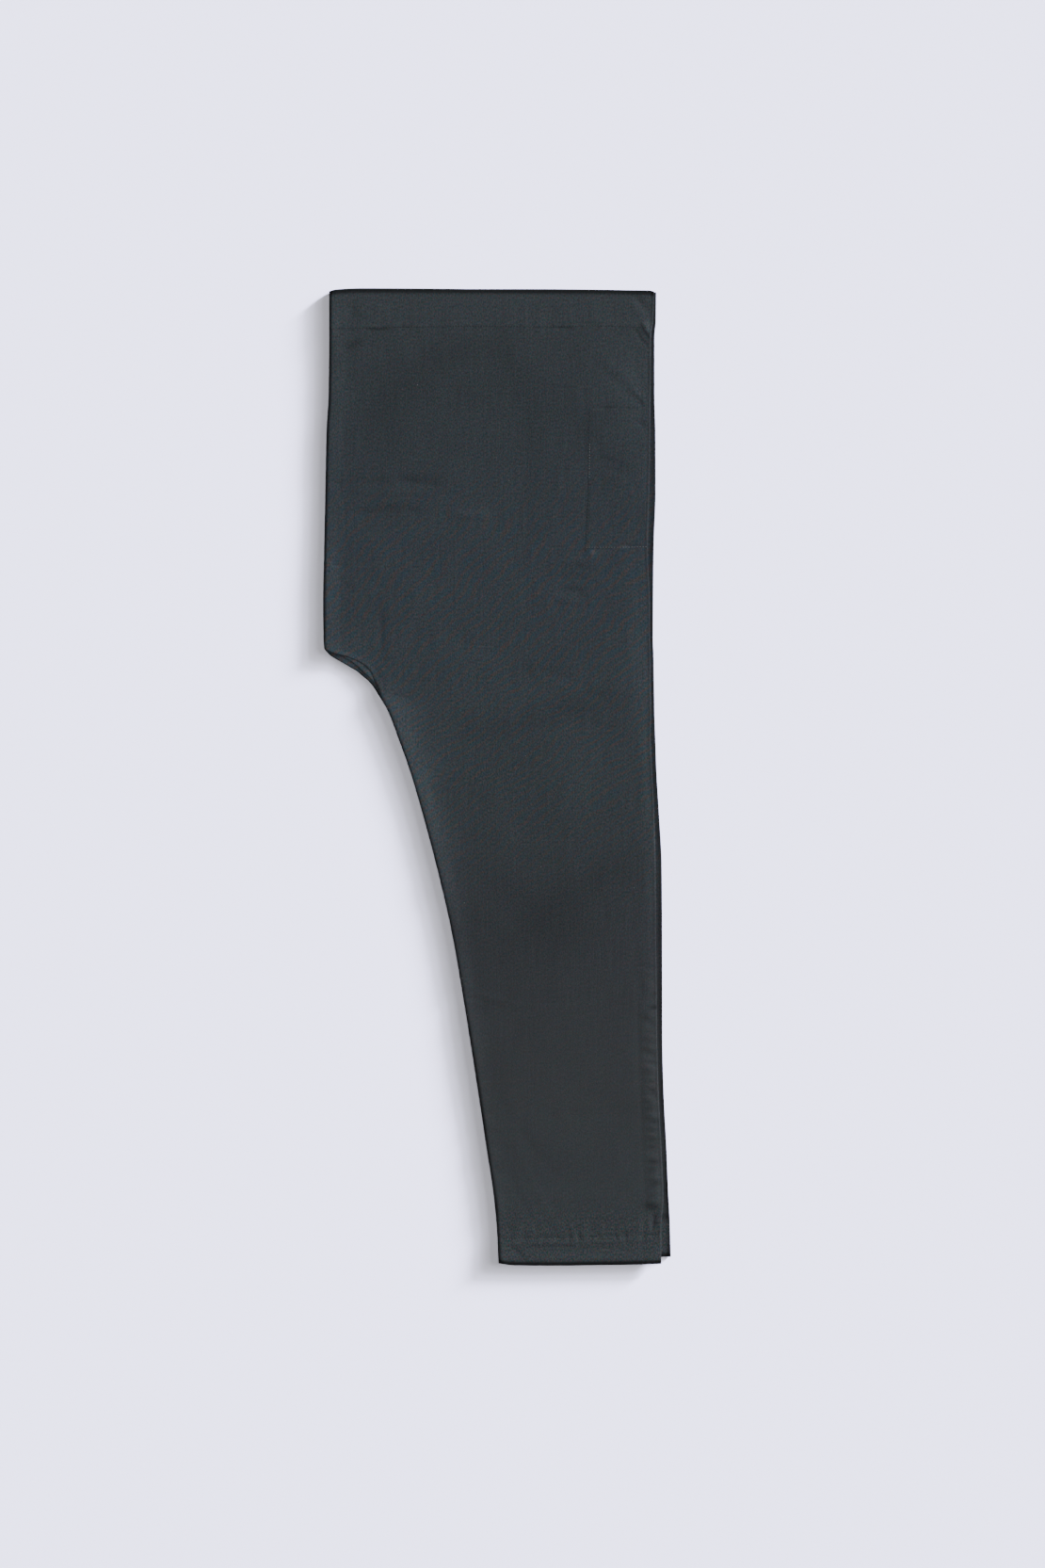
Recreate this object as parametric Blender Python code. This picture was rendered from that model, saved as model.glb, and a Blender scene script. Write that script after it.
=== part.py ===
"""Pull-on trousers folded once down the middle and laid flat, one leg on the other.

Metres, +Z up. The waist is at +Y and the feet are at -Y. The folded centre lies
to -X, the side seams lie to +X, and the wearer's left front is the panel on top.
The origin is on the floor, under the middle of the folded garment.

Each layer of cloth is a wall between two grids of points. A grid has one row for
each line across the leg and one column for each line down it.
"""
import math
from collections import namedtuple

import bmesh
import bpy
from mathutils import Vector

MM = 0.001

# Driving dimensions
LENGTH = 1021 * MM
WALL = 1.2 * MM
BAND_WALL = 1.6 * MM
LAYER_GAP = 0.35 * MM
SEAM_GAP = 0.3 * MM
CASING_DEPTH = 38 * MM
HEM_DEPTH = 27.5 * MM
FAR_HEM_DEPTH = 35 * MM
FAR_LEG_SLIP = 7.5 * MM
BACKS_SHORTER = 1.2 * MM

# Heights of the near front's upper face
EDGE_TOP = 4 * WALL + 3 * LAYER_GAP
BAND_TOP = 4 * BAND_WALL + 3 * LAYER_GAP
SEAM_TOP = BAND_TOP - (BAND_WALL - WALL)
MIDDLE_TOP = 8.2 * MM
EDGE_RAMP = 20 * MM
SEAM_RAMP = 36 * MM

# Rolled edges
SEAM_ROLL = 1.0 * MM
SEAM_LIP = 0.3 * MM
SEAM_CUT = 0.15 * MM
GROOVE_DEPTH = 9 * MM
FOLD_GROOVE_DEPTH = 1.5 * MM
GROOVE_CROWDING = 0.1
END_ROUND = 1.2 * MM
CROTCH_START = 340 * MM
CROTCH_END = 372 * MM

# The pocket bag under the near front, beside the side seam
POCKET_TOP = 125.5 * MM
POCKET_FOOT = 270.5 * MM
POCKET_WALL = 1.0 * MM
POCKET_RAISE = 0.7 * MM
POCKET_EDGE = 8.5 * MM

# Columns that every layer shares, measured in from the near front's own edges
FOLD_INSET = 5.5 * MM
INSEAM_INSET = 2.5 * MM
LEFT_INSETS = (13 * MM, 26 * MM)
RIGHT_INSETS = (28 * MM, 17 * MM, 8 * MM)
MIDDLE_SHARES = (0.14, 0.28, 0.42, 0.55, 0.67, 0.77, 0.82, 0.87)
POCKET_SHARE = 0.87
BEFORE_POCKET_SHARE = 0.82
NEAR_ARC_STEPS = 3
HIDDEN_ARC_STEPS = 2

# Rows, as lengths down from the waist where the garment's lines run straight across
CASING_ROWS = (0, 0.4, 1.2, 12, 26)
BODY_ROWS = (44, 54, 68, 84, 100, 117, 125.5, 150, 178, 208, 240, 270.5, 279, 305,
             335, 350, 364, 376, 380, 383, 387, 391, 396, 402, 409, 417, 428, 443,
             463, 490, 525, 565, 610, 655, 700, 720, 732, 741, 750, 760, 778, 810,
             850, 890, 925, 952, 972, 983)
HEM_ROWS = (1000, 1010, 1019.8, 1020.6, 1021)

# The outline across the garment at lengths down from the waist, in millimetres from
# the middle of the folded garment: near_front, near_back and far_back are the left
# edges of the layers, near_side and far_side the right edges of the two legs
Section = namedtuple("Section", "drop near_front near_back far_back near_side far_side")
SECTIONS = (
    Section(0, -174.6, -174.6, -174.6, 165.2, 165.8),
    Section(30, -174.6, -174.6, -174.6, 164.2, 165.4),
    Section(46, -174.6, -174.6, -174.6, 162.0, 164.0),
    Section(110, -175.2, -175.2, -175.2, 161.6, 164.0),
    Section(150, -177.4, -177.4, -177.4, 161.0, 165.0),
    Section(210, -178.6, -178.6, -178.6, 160.2, 165.2),
    Section(270, -179.8, -179.8, -179.8, 158.4, 163.2),
    Section(330, -180.9, -180.9, -180.9, 160.8, 162.6),
    Section(367, -180.4, -180.4, -180.4, 161.0, 162.4),
    Section(376, -179.6, -179.6, -179.6, 161.2, 162.8),
    Section(380, -172.5, -174.0, -176.4, 161.2, 163.0),
    Section(383, -160.5, -163.5, -173.4, 161.3, 163.0),
    Section(387, -149.6, -155.0, -167.0, 161.3, 163.1),
    Section(391, -141.4, -149.6, -160.2, 161.4, 163.2),
    Section(395, -135.8, -144.6, -153.2, 161.4, 163.2),
    Section(400, -131.6, -139.6, -144.8, 161.5, 163.3),
    Section(405, -129.2, -134.0, -139.0, 161.5, 163.4),
    Section(410, -127.2, -129.6, -133.2, 161.6, 163.5),
    Section(417, -123.6, -124.2, -127.6, 161.7, 163.6),
    Section(426, -121.0, -121.2, -122.0, 161.9, 163.8),
    Section(442, -112.6, -112.6, -112.2, 162.2, 164.0),
    Section(466, -103.4, -103.4, -102.6, 161.6, 164.8),
    Section(505, -89.6, -89.6, -88.6, 163.2, 166.2),
    Section(545, -77.8, -77.8, -76.8, 165.2, 168.6),
    Section(604, -62.0, -62.0, -61.0, 166.8, 171.6),
    Section(663, -48.2, -48.2, -47.2, 167.0, 172.0),
    Section(722, -37.4, -37.4, -36.4, 166.8, 172.1),
    Section(782, -27.6, -27.6, -26.6, 166.8, 172.2),
    Section(840, -18.6, -18.6, -17.6, 168.2, 173.6),
    Section(900, -8.8, -8.8, -7.8, 171.4, 176.6),
    Section(950, -1.2, -1.2, -0.2, 174.2, 178.4),
    Section(985, 1.2, 1.2, 2.2, 172.8, 180.0),
    Section(1021, 2.8, 2.8, 3.8, 172.6, 181.0),
)

# Where the casing's stitched line falls below the waist, from the fold to the side
CasingLine = namedtuple("CasingLine", "across depth")
CASING_LINE = (
    CasingLine(-175, 42.4), CasingLine(-140, 41.0), CasingLine(-110, 38.6),
    CasingLine(-56, 38.0), CasingLine(-30, 35.8), CasingLine(52, 34.2),
    CasingLine(96, 36.8), CasingLine(142, 39.0), CasingLine(166, 41.8),
)

# Where the hem's stitched line and the foot's edge fall, from the inseam to the side
FootLine = namedtuple("FootLine", "across stitches edge")
FOOT_LINE = (
    FootLine(2, 993.5, 1018.6), FootLine(20, 993.5, 1020.6), FootLine(60, 993.3, 1021.0),
    FootLine(110, 991.8, 1020.4), FootLine(150, 990.6, 1019.2), FootLine(174, 990.2, 1017.6),
)

# Largest creases of the near front: a ridge from one end to the other, bowed by sag
Crease = namedtuple("Crease", "x_start drop_start x_end drop_end sag height width")
CREASES = (
    Crease(-22, 737, 132, 740, 15, 1.1, 8),
    Crease(126, 88, 160, 118, 0, 0.9, 8),
    Crease(-150, 224, -88, 222, 8, 0.7, 9),
    Crease(30, 392, 158, 436, 0, 0.8, 13),
    Crease(-178, 352, -120, 300, 6, 0.6, 14),
)
ALLOWANCE_START = 560 * MM
ALLOWANCE_END = 960 * MM
ALLOWANCE_HEIGHT = 0.5 * MM
ALLOWANCE_WIDTH = 6 * MM

CLOTH_COLOUR = (0.034, 0.043, 0.051, 1.0)
CASING_COLOUR = (0.036, 0.045, 0.052, 1.0)
POCKET_COLOUR = (0.034, 0.043, 0.050, 1.0)
CLOTH_ROUGHNESS = 0.92


def smooth(share):
    """A soft step: 0 below 0, 1 above 1."""
    share = min(max(share, 0.0), 1.0)
    return share * share * (3.0 - 2.0 * share)


def blend(start, end, share):
    return start + (end - start) * share


def read_line(rows, place, column):
    """The column's value at a place along the rows' first column, in metres.

    The curve between rows is a cubic that doesn't overshoot them.
    """
    places = [row[0] * MM for row in rows]
    values = [getattr(row, column) * MM for row in rows]
    if place <= places[0]:
        return values[0]
    if place >= places[-1]:
        return values[-1]
    steps = [b - a for a, b in zip(places, places[1:])]
    slopes = [(b - a) / step for a, b, step in zip(values, values[1:], steps)]
    tangents = [slopes[0]]
    for before, after in zip(slopes, slopes[1:]):
        tangents.append(2.0 * before * after / (before + after) if before * after > 0 else 0.0)
    tangents.append(slopes[-1])
    index = 0
    while places[index + 1] < place:
        index += 1
    step = steps[index]
    share = (place - places[index]) / step
    square = share * share
    cube = square * share
    return ((2 * cube - 3 * square + 1) * values[index]
            + (cube - 2 * square + share) * step * tangents[index]
            + (3 * square - 2 * cube) * values[index + 1]
            + (cube - square) * step * tangents[index + 1])


def edge(column, drop):
    return read_line(SECTIONS, drop, column)


def fold_share(drop):
    """1 where the left edge is the folded centre, 0 where it is the inseam."""
    return 1.0 - smooth((drop - CROTCH_START) / (CROTCH_END - CROTCH_START))


def bent_drop(drop, x):
    """Where a point really falls, for a row that would run straight across at drop."""
    casing_shift = read_line(CASING_LINE, x, "depth") - CASING_DEPTH
    stitches_shift = read_line(FOOT_LINE, x, "stitches") - (LENGTH - HEM_DEPTH)
    edge_shift = read_line(FOOT_LINE, x, "edge") - LENGTH
    hem_start = LENGTH - HEM_DEPTH
    if drop <= CASING_DEPTH:
        return drop + casing_shift * drop / CASING_DEPTH
    if drop < hem_start:
        near_casing = 1.0 - smooth((drop - CASING_DEPTH) / (60 * MM))
        near_hem = smooth((drop - hem_start + 60 * MM) / (60 * MM))
        return drop + casing_shift * near_casing + stitches_shift * near_hem
    return drop + blend(stitches_shift, edge_shift, (drop - hem_start) / HEM_DEPTH)


def far_slip(drop):
    """How much higher the far leg lies, which grows down the leg."""
    return FAR_LEG_SLIP * smooth((drop - 860 * MM) / (130 * MM))


def y_at(drop, x, is_far=False):
    slip = far_slip(drop) if is_far else 0.0
    return LENGTH / 2 - bent_drop(drop, x) + slip


def middle_column(drop, share):
    """The x at a share of the way across the middle of the near front."""
    left = edge("near_front", drop) + LEFT_INSETS[-1]
    right = edge("near_side", drop) - RIGHT_INSETS[0]
    return blend(left, right, share)


def shared_columns(drop):
    """The x of each column that all layers share at this row."""
    left = edge("near_front", drop)
    right = edge("near_side", drop)
    columns = [left + blend(INSEAM_INSET, FOLD_INSET, fold_share(drop))]
    columns += [left + inset for inset in LEFT_INSETS]
    columns += [middle_column(drop, share) for share in MIDDLE_SHARES]
    columns += [right - inset for inset in RIGHT_INSETS]
    return columns


OUTLINE_DROPS = [MM * drop for drop in range(40, 1000, 6)]
LEFT_OUTLINE = [Vector((edge("near_front", drop), drop)) for drop in OUTLINE_DROPS]
RIGHT_OUTLINE = [Vector((edge("near_side", drop), drop)) for drop in OUTLINE_DROPS]


def edge_distance(x, drop):
    """How far a point lies inside the near front's side edges, 0 outside them."""
    if x <= edge("near_front", drop) or x >= edge("near_side", drop):
        return 0.0
    place = Vector((x, drop))
    nearest = LENGTH
    for outline in (LEFT_OUTLINE, RIGHT_OUTLINE):
        for start, end in zip(outline, outline[1:]):
            run = end - start
            share = min(max((place - start).dot(run) / run.length_squared, 0.0), 1.0)
            nearest = min(nearest, (place - start - run * share).length)
    return nearest


def crease_height(x, drop):
    """Height that the largest creases add at a point."""
    height = 0.0
    for crease in CREASES:
        start = Vector((crease.x_start, crease.drop_start)) * MM
        run = Vector((crease.x_end, crease.drop_end)) * MM - start
        share = (Vector((x, drop)) - start).dot(run) / run.length_squared
        inside = min(max(share, 0.0), 1.0)
        nearest = start + run * inside
        nearest.y += crease.sag * MM * 4.0 * inside * (1.0 - inside)
        away = (Vector((x, drop)) - nearest).length / (crease.width * MM)
        height += crease.height * MM * math.exp(-away * away)
    return height


def pocket_share(x, drop):
    """1 over the pocket bag, falling to 0 just outside it."""
    bag_edge = middle_column(drop, POCKET_SHARE)
    clear_edge = middle_column(drop, BEFORE_POCKET_SHARE)
    rise = (x - clear_edge) / (bag_edge - clear_edge)
    side = (edge("near_side", drop) - SEAM_ROLL - x) / (RIGHT_INSETS[-1] - SEAM_ROLL)
    above = (drop - POCKET_TOP + POCKET_EDGE) / POCKET_EDGE
    below = (POCKET_FOOT + POCKET_EDGE - drop) / POCKET_EDGE
    return min(max(min(rise, side, above, below), 0.0), 1.0)


def allowance_share(x, drop):
    """1 on the ridge that the seam allowance presses beside the side seam."""
    along = smooth((drop - ALLOWANCE_START) / (60 * MM))
    along *= smooth((ALLOWANCE_END - drop) / (60 * MM))
    away = (edge("near_side", drop) - RIGHT_INSETS[1] - x) / ALLOWANCE_WIDTH
    return along * math.exp(-away * away)


def stack_top(x, drop):
    """Height of the near front's upper face."""
    away = min(drop - CASING_DEPTH, LENGTH - HEM_DEPTH - drop)
    if away <= 0.0:
        return BAND_TOP
    inside = smooth(edge_distance(x, drop) / EDGE_RAMP)
    relief = crease_height(x, drop) + POCKET_RAISE * pocket_share(x, drop)
    relief += ALLOWANCE_HEIGHT * allowance_share(x, drop)
    height = blend(EDGE_TOP, MIDDLE_TOP + relief, inside)
    return blend(SEAM_TOP, height, smooth(away / SEAM_RAMP))


def near_wall(drop):
    is_band = drop <= CASING_DEPTH or drop >= LENGTH - HEM_DEPTH
    return BAND_WALL if is_band else WALL


def far_wall(drop):
    """Thickness of the lowest layer with room for its bands."""
    casing = 1.0 - smooth((drop - CASING_DEPTH) / (8 * MM))
    hem = smooth((drop - 972 * MM) / (11 * MM))
    return blend(WALL, BAND_WALL, max(casing, hem))


def backs_top(x, drop):
    """Upper face of the two backs, just under the near front and the pocket bag."""
    clearance = near_wall(drop) + LAYER_GAP
    bag = (POCKET_WALL + SEAM_GAP) * pocket_share(x, drop)
    return stack_top(x, drop) - clearance - bag


def arc_points(edge_x, inward, reach, low, high, steps=HIDDEN_ARC_STEPS):
    """Points of a quarter round from an edge up, or down, to where it levels out."""
    points = []
    for step in range(steps + 1):
        angle = math.pi / 2 * step / steps
        x = edge_x + inward * reach * (1.0 - math.cos(angle))
        points.append((x, low + (high - low) * math.sin(angle)))
    return points


def layer_row(left, right, shared):
    """One row of (x, height) points: its left arc, the shared points and its right arc."""
    return left + shared + list(reversed(right))


def place_row(points, drop, is_far=False):
    return [Vector((x, y_at(drop, x, is_far), z)) for x, z in points]


def top_panel_row(drop, thin=1.0):
    """Upper and lower points of one row of the near front; thin rounds its open ends."""
    wall = near_wall(drop)
    fold = fold_share(drop)
    left_x = edge("near_front", drop)
    right_x = edge("near_side", drop)
    height = stack_top(left_x, drop)
    underside = height - wall
    middle = blend(underside, height / 2 + SEAM_GAP / 2, fold)
    reach = blend(SEAM_ROLL, height / 2, fold)
    lip = blend(SEAM_LIP, 0.0, fold)
    wrap = blend(SEAM_CUT, wall, fold)
    shave = (1.0 - thin) * wall / 2
    columns = shared_columns(drop)
    tops = [(x, stack_top(x, drop) - shave) for x in columns]
    undersides = [(x, stack_top(x, drop) - wall + shave) for x in columns]
    upper = layer_row(
        arc_points(left_x, 1, reach, middle + lip, height - shave, NEAR_ARC_STEPS),
        arc_points(right_x, -1, SEAM_ROLL, underside + SEAM_LIP, height - shave,
                   NEAR_ARC_STEPS),
        tops)
    lower = layer_row(
        arc_points(left_x + wrap, 1, reach - wrap, middle, underside + shave, NEAR_ARC_STEPS),
        arc_points(right_x - SEAM_CUT, -1, SEAM_ROLL - SEAM_CUT, underside, underside + shave,
                   NEAR_ARC_STEPS),
        undersides)
    return place_row(upper, drop), place_row(lower, drop)


def bottom_panel_row(drop, wall, thin=1.0):
    """Upper and lower points of one row of the far front, which lies on the floor."""
    fold = fold_share(drop)
    left_x = edge("far_back", drop)
    right_x = edge("far_side", drop)
    stack = stack_top(edge("near_front", drop), drop)
    middle = blend(wall, stack / 2 - SEAM_GAP / 2, fold)
    reach = blend(SEAM_ROLL, stack / 2, fold)
    wrap = blend(SEAM_CUT, wall, fold)
    lip = blend(SEAM_LIP, 0.0, fold)
    shave = (1.0 - thin) * wall / 2
    columns = shared_columns(drop)[::2]
    upper = layer_row(
        arc_points(left_x + wrap, 1, reach - wrap, middle, wall - shave),
        arc_points(right_x - SEAM_CUT, -1, SEAM_ROLL - SEAM_CUT, wall, wall - shave),
        [(x, wall - shave) for x in columns])
    lower = layer_row(
        arc_points(left_x, 1, reach, middle - lip, shave),
        arc_points(right_x, -1, SEAM_ROLL, wall - SEAM_LIP, shave),
        [(x, shave) for x in columns])
    return place_row(upper, drop, True), place_row(lower, drop, True)


def seam_middle(drop):
    """Height of the seam between the two backs, at the garment's edge."""
    underside = stack_top(edge("near_front", drop), drop) - near_wall(drop) - LAYER_GAP
    return (underside + far_wall(drop) + LAYER_GAP) / 2


def backs_row(drop, thin=1.0):
    """Upper and lower points of one row of the two backs."""
    fold = fold_share(drop)
    inset = (near_wall(drop) + LAYER_GAP + SEAM_CUT / 2) * fold
    near_x = edge("near_back", drop) + inset
    far_x = edge("far_back", drop) + inset
    near_side = edge("near_side", drop)
    far_side = edge("far_side", drop)
    floor = far_wall(drop) + LAYER_GAP
    left_top = backs_top(near_x, drop)
    right_top = backs_top(near_side, drop)
    middle = seam_middle(drop)
    shave = (1.0 - thin) * near_wall(drop) / 2
    reach = blend(SEAM_ROLL, (left_top - floor) / 2, fold)
    columns = shared_columns(drop)
    upper = layer_row(
        arc_points(near_x, 1, reach, blend(left_top - shave, middle + SEAM_LIP, fold),
                   left_top - shave),
        arc_points(near_side, -1, SEAM_ROLL, right_top - shave, right_top - shave),
        [(x, backs_top(x, drop) - shave) for x in columns])
    lower = layer_row(
        arc_points(far_x, 1, reach, blend(floor + shave, middle - SEAM_LIP, fold),
                   floor + shave),
        arc_points(far_side, -1, SEAM_ROLL, floor + shave, floor + shave),
        [(x, floor + shave) for x in columns])
    return place_row(upper, drop), place_row(lower, drop, True)


def around(row_count, column_count):
    """Row and column of each point round the outside of a grid, in order."""
    places = [(0, column) for column in range(column_count)]
    places += [(row, column_count - 1) for row in range(1, row_count)]
    places += [(row_count - 1, column) for column in range(column_count - 2, -1, -1)]
    places += [(row, 0) for row in range(row_count - 2, 0, -1)]
    return places


def add_cell(mesh, first, second, third, fourth):
    """Two triangles, split along the same diagonal in every layer so that layers nest."""
    mesh.faces.new((first, second, third))
    mesh.faces.new((first, third, fourth))


def make_wall(name, upper, lower, colour, rims=()):
    """A closed wall between two grids, joined round the outside through any rims."""
    mesh = bmesh.new()
    upper_grid = [[mesh.verts.new(point) for point in row] for row in upper]
    lower_grid = [[mesh.verts.new(point) for point in row] for row in lower]
    row_count = len(upper)
    column_count = len(upper[0])
    for row in range(row_count - 1):
        for column in range(column_count - 1):
            for grid, is_upper in ((upper_grid, True), (lower_grid, False)):
                waist_left, waist_right = grid[row][column:column + 2]
                foot_left, foot_right = grid[row + 1][column:column + 2]
                if is_upper:
                    add_cell(mesh, waist_left, foot_left, foot_right, waist_right)
                else:
                    add_cell(mesh, waist_left, waist_right, foot_right, foot_left)
    places = around(row_count, column_count)
    loops = [[upper_grid[row][column] for row, column in places]]
    loops += [[mesh.verts.new(point) for point in rim] for rim in rims]
    loops.append([lower_grid[row][column] for row, column in places])
    for above, below in zip(loops, loops[1:]):
        for index in range(len(places)):
            after = (index + 1) % len(places)
            add_cell(mesh, above[index], above[after], below[after], below[index])
    data = bpy.data.meshes.new(name)
    mesh.to_mesh(data)
    mesh.free()
    data.materials.append(make_material(name + "_cloth", colour))
    data.shade_smooth()
    data.set_sharp_from_angle(angle=math.radians(40))
    piece = bpy.data.objects.new(name, data)
    bpy.context.scene.collection.objects.link(piece)
    return piece


def make_material(name, colour):
    material = bpy.data.materials.new(name)
    material.use_nodes = True
    material.diffuse_color = colour
    shader = material.node_tree.nodes["Principled BSDF"]
    shader.inputs["Base Color"].default_value = colour
    shader.inputs["Roughness"].default_value = CLOTH_ROUGHNESS
    shader.inputs["Metallic"].default_value = 0.0
    return material


def end_round(from_end):
    """How full a band is near its folded edge."""
    share = min(max(from_end / END_ROUND, 0.0), 1.0)
    return blend(0.3, 1.0, math.sqrt(share * (2.0 - share)))


def rows_of(drops, make_row, *sizes):
    """Upper and lower grids of a piece, one row for each drop."""
    pairs = []
    for drop in drops:
        thin = min(end_round(drop), end_round(LENGTH - drop))
        pairs.append(make_row(drop, *sizes, thin))
    return [pair[0] for pair in pairs], [pair[1] for pair in pairs]


def in_metres(drops):
    return [drop * MM for drop in drops]


def build_near_front():
    """The panel on top, with its casing and its hem."""
    casing_end = CASING_DEPTH - SEAM_GAP / 2
    body_start = CASING_DEPTH + SEAM_GAP / 2
    hem_start = LENGTH - HEM_DEPTH
    casing = in_metres(CASING_ROWS) + [casing_end]
    body = [body_start] + in_metres(BODY_ROWS) + [hem_start - SEAM_GAP / 2]
    hem = [hem_start + SEAM_GAP / 2] + in_metres(HEM_ROWS)
    make_wall("left_front_casing", *rows_of(casing, top_panel_row), CASING_COLOUR)
    make_wall("left_front", *rows_of(body, top_panel_row), CLOTH_COLOUR)
    make_wall("left_front_hem", *rows_of(hem, top_panel_row), CASING_COLOUR)


def build_far_front():
    """The panel on the floor, with its casing and its hem."""
    casing_end = CASING_DEPTH - SEAM_GAP / 2
    body_start = CASING_DEPTH + SEAM_GAP / 2
    hem_start = LENGTH - FAR_HEM_DEPTH
    casing = in_metres(CASING_ROWS) + [casing_end]
    body = [body_start] + in_metres(BODY_ROWS[:-1]) + [hem_start - SEAM_GAP / 2]
    hem = [hem_start + SEAM_GAP / 2] + in_metres(HEM_ROWS)
    make_wall("right_front_casing", *rows_of(casing, bottom_panel_row, BAND_WALL),
              CASING_COLOUR)
    make_wall("right_front", *rows_of(body, bottom_panel_row, WALL), CLOTH_COLOUR)
    make_wall("right_front_hem", *rows_of(hem, bottom_panel_row, BAND_WALL), CASING_COLOUR)


def seam_rim(upper, lower, drops, side):
    """A loop round the backs at the seam between them.

    side is 1 for the near back's lower edge, -1 for the far back's upper edge and 0
    for the groove's inner end.
    """
    rim = []
    for row, column in around(len(upper), len(upper[0])):
        drop = drops[row] - far_slip(drops[row]) * (1 - side) / 2
        point = blend(lower[row][column], upper[row][column], (1 + side) / 2)
        if side == 0:
            point = groove_point(point, upper, lower, row, column, drops[row])
        point.z = seam_middle(drop) + side * SEAM_GAP / 2
        rim.append(point)
    return rim


def groove_point(point, upper, lower, row, column, drop):
    """A point of the rim moved inside the edge by the groove's depth."""
    depth = GROOVE_DEPTH
    if column < len(upper[0]) // 2:
        closed = fold_share(drop) * smooth(drop / (30 * MM))
        depth = blend(GROOVE_DEPTH, FOLD_GROOVE_DEPTH, closed)
    left = max(upper[row][0].x, lower[row][0].x)
    right = min(upper[row][-1].x, lower[row][-1].x)
    waist = min(upper[0][column].y, lower[0][column].y)
    foot = max(upper[-1][column].y, lower[-1][column].y)
    inner = point.copy()
    inner.x = max(inner.x, left + depth + (inner.x - left) * GROOVE_CROWDING)
    inner.x = min(inner.x, right - depth - (right - inner.x) * GROOVE_CROWDING)
    inner.y = min(inner.y, waist - GROOVE_DEPTH - (waist - inner.y) * GROOVE_CROWDING)
    inner.y = max(inner.y, foot + GROOVE_DEPTH + (inner.y - foot) * GROOVE_CROWDING)
    return inner


def build_backs():
    """The two hidden backs as one solid, parted at its edges by the seam between them."""
    drops = in_metres(CASING_ROWS) + [CASING_DEPTH] + in_metres(BODY_ROWS)
    drops += [LENGTH - HEM_DEPTH] + in_metres(HEM_ROWS)
    upper, lower = rows_of(drops, backs_row)
    for grid in (upper, lower):
        for drop, points in zip(drops, grid):
            for point in points:
                point.y -= end_lag(drop)
    rims = [seam_rim(upper, lower, drops, side) for side in (1, 0, -1)]
    make_wall("folded_backs", upper, lower, CLOTH_COLOUR, rims)


def end_lag(drop):
    """How far a row of the backs moves so that their ends lie inside the fronts' ends."""
    at_waist = 1.0 - smooth(drop / CASING_DEPTH)
    at_foot = smooth((drop - LENGTH + HEM_DEPTH) / HEM_DEPTH)
    return BACKS_SHORTER * (at_waist - at_foot)


def build_pocket_bag():
    """The bag stitched under the near front, from the front's own points moved down."""
    drops = [drop for drop in in_metres(BODY_ROWS) if POCKET_TOP <= drop <= POCKET_FOOT]
    first = 1 + len(LEFT_INSETS) + MIDDLE_SHARES.index(POCKET_SHARE)
    upper = []
    lower = []
    for drop in drops:
        columns = shared_columns(drop)[first:]
        top = [(x, stack_top(x, drop) - WALL - SEAM_GAP) for x in columns]
        bottom = [(x, z - POCKET_WALL) for x, z in top]
        upper.append(place_row(top, drop))
        lower.append(place_row(bottom, drop))
    make_wall("left_pocket_bag", upper, lower, POCKET_COLOUR)


def clear_scene():
    for item in list(bpy.data.objects):
        bpy.data.objects.remove(item, do_unlink=True)


def main():
    clear_scene()
    build_near_front()
    build_backs()
    build_far_front()
    build_pocket_bag()


main()
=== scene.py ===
"""Looks for pull-on trousers that are folded once down the middle and laid flat.

The folded centre lies to -X and the side seams to +X, the waist at +Y and the feet
at -Y. The wearer's left front is the sheet on top. A drop is a length down from the
waist's edge. Tables are in millimetres and everything else is in metres.
"""
from __future__ import annotations

import logging
import math
from dataclasses import dataclass, field
from enum import Enum
from typing import NamedTuple, Sequence

import bpy
import numpy as np
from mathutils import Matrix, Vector
from mathutils.kdtree import KDTree


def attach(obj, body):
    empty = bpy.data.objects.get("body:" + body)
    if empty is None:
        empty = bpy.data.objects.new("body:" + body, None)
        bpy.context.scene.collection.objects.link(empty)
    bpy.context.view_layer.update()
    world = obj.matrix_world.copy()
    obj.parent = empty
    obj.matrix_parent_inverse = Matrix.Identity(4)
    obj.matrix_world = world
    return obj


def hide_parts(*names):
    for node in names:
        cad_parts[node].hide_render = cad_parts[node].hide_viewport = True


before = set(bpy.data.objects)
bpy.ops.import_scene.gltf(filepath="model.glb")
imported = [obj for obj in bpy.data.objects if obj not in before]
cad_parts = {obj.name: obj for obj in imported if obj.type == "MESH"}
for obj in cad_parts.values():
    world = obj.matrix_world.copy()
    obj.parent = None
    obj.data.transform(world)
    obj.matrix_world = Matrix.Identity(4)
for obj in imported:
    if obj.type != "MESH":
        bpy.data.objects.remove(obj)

MM = 0.001
LOG = logging.getLogger("folded_trousers")

Points = np.ndarray
Colour = tuple[float, float, float]
Socket = bpy.types.NodeSocket
Grain = tuple[float, float, float]


class Section(NamedTuple):
    """The outline across the garment at one drop."""

    drop: float
    near_front: float
    near_back: float
    far_back: float
    near_side: float
    far_side: float


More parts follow.
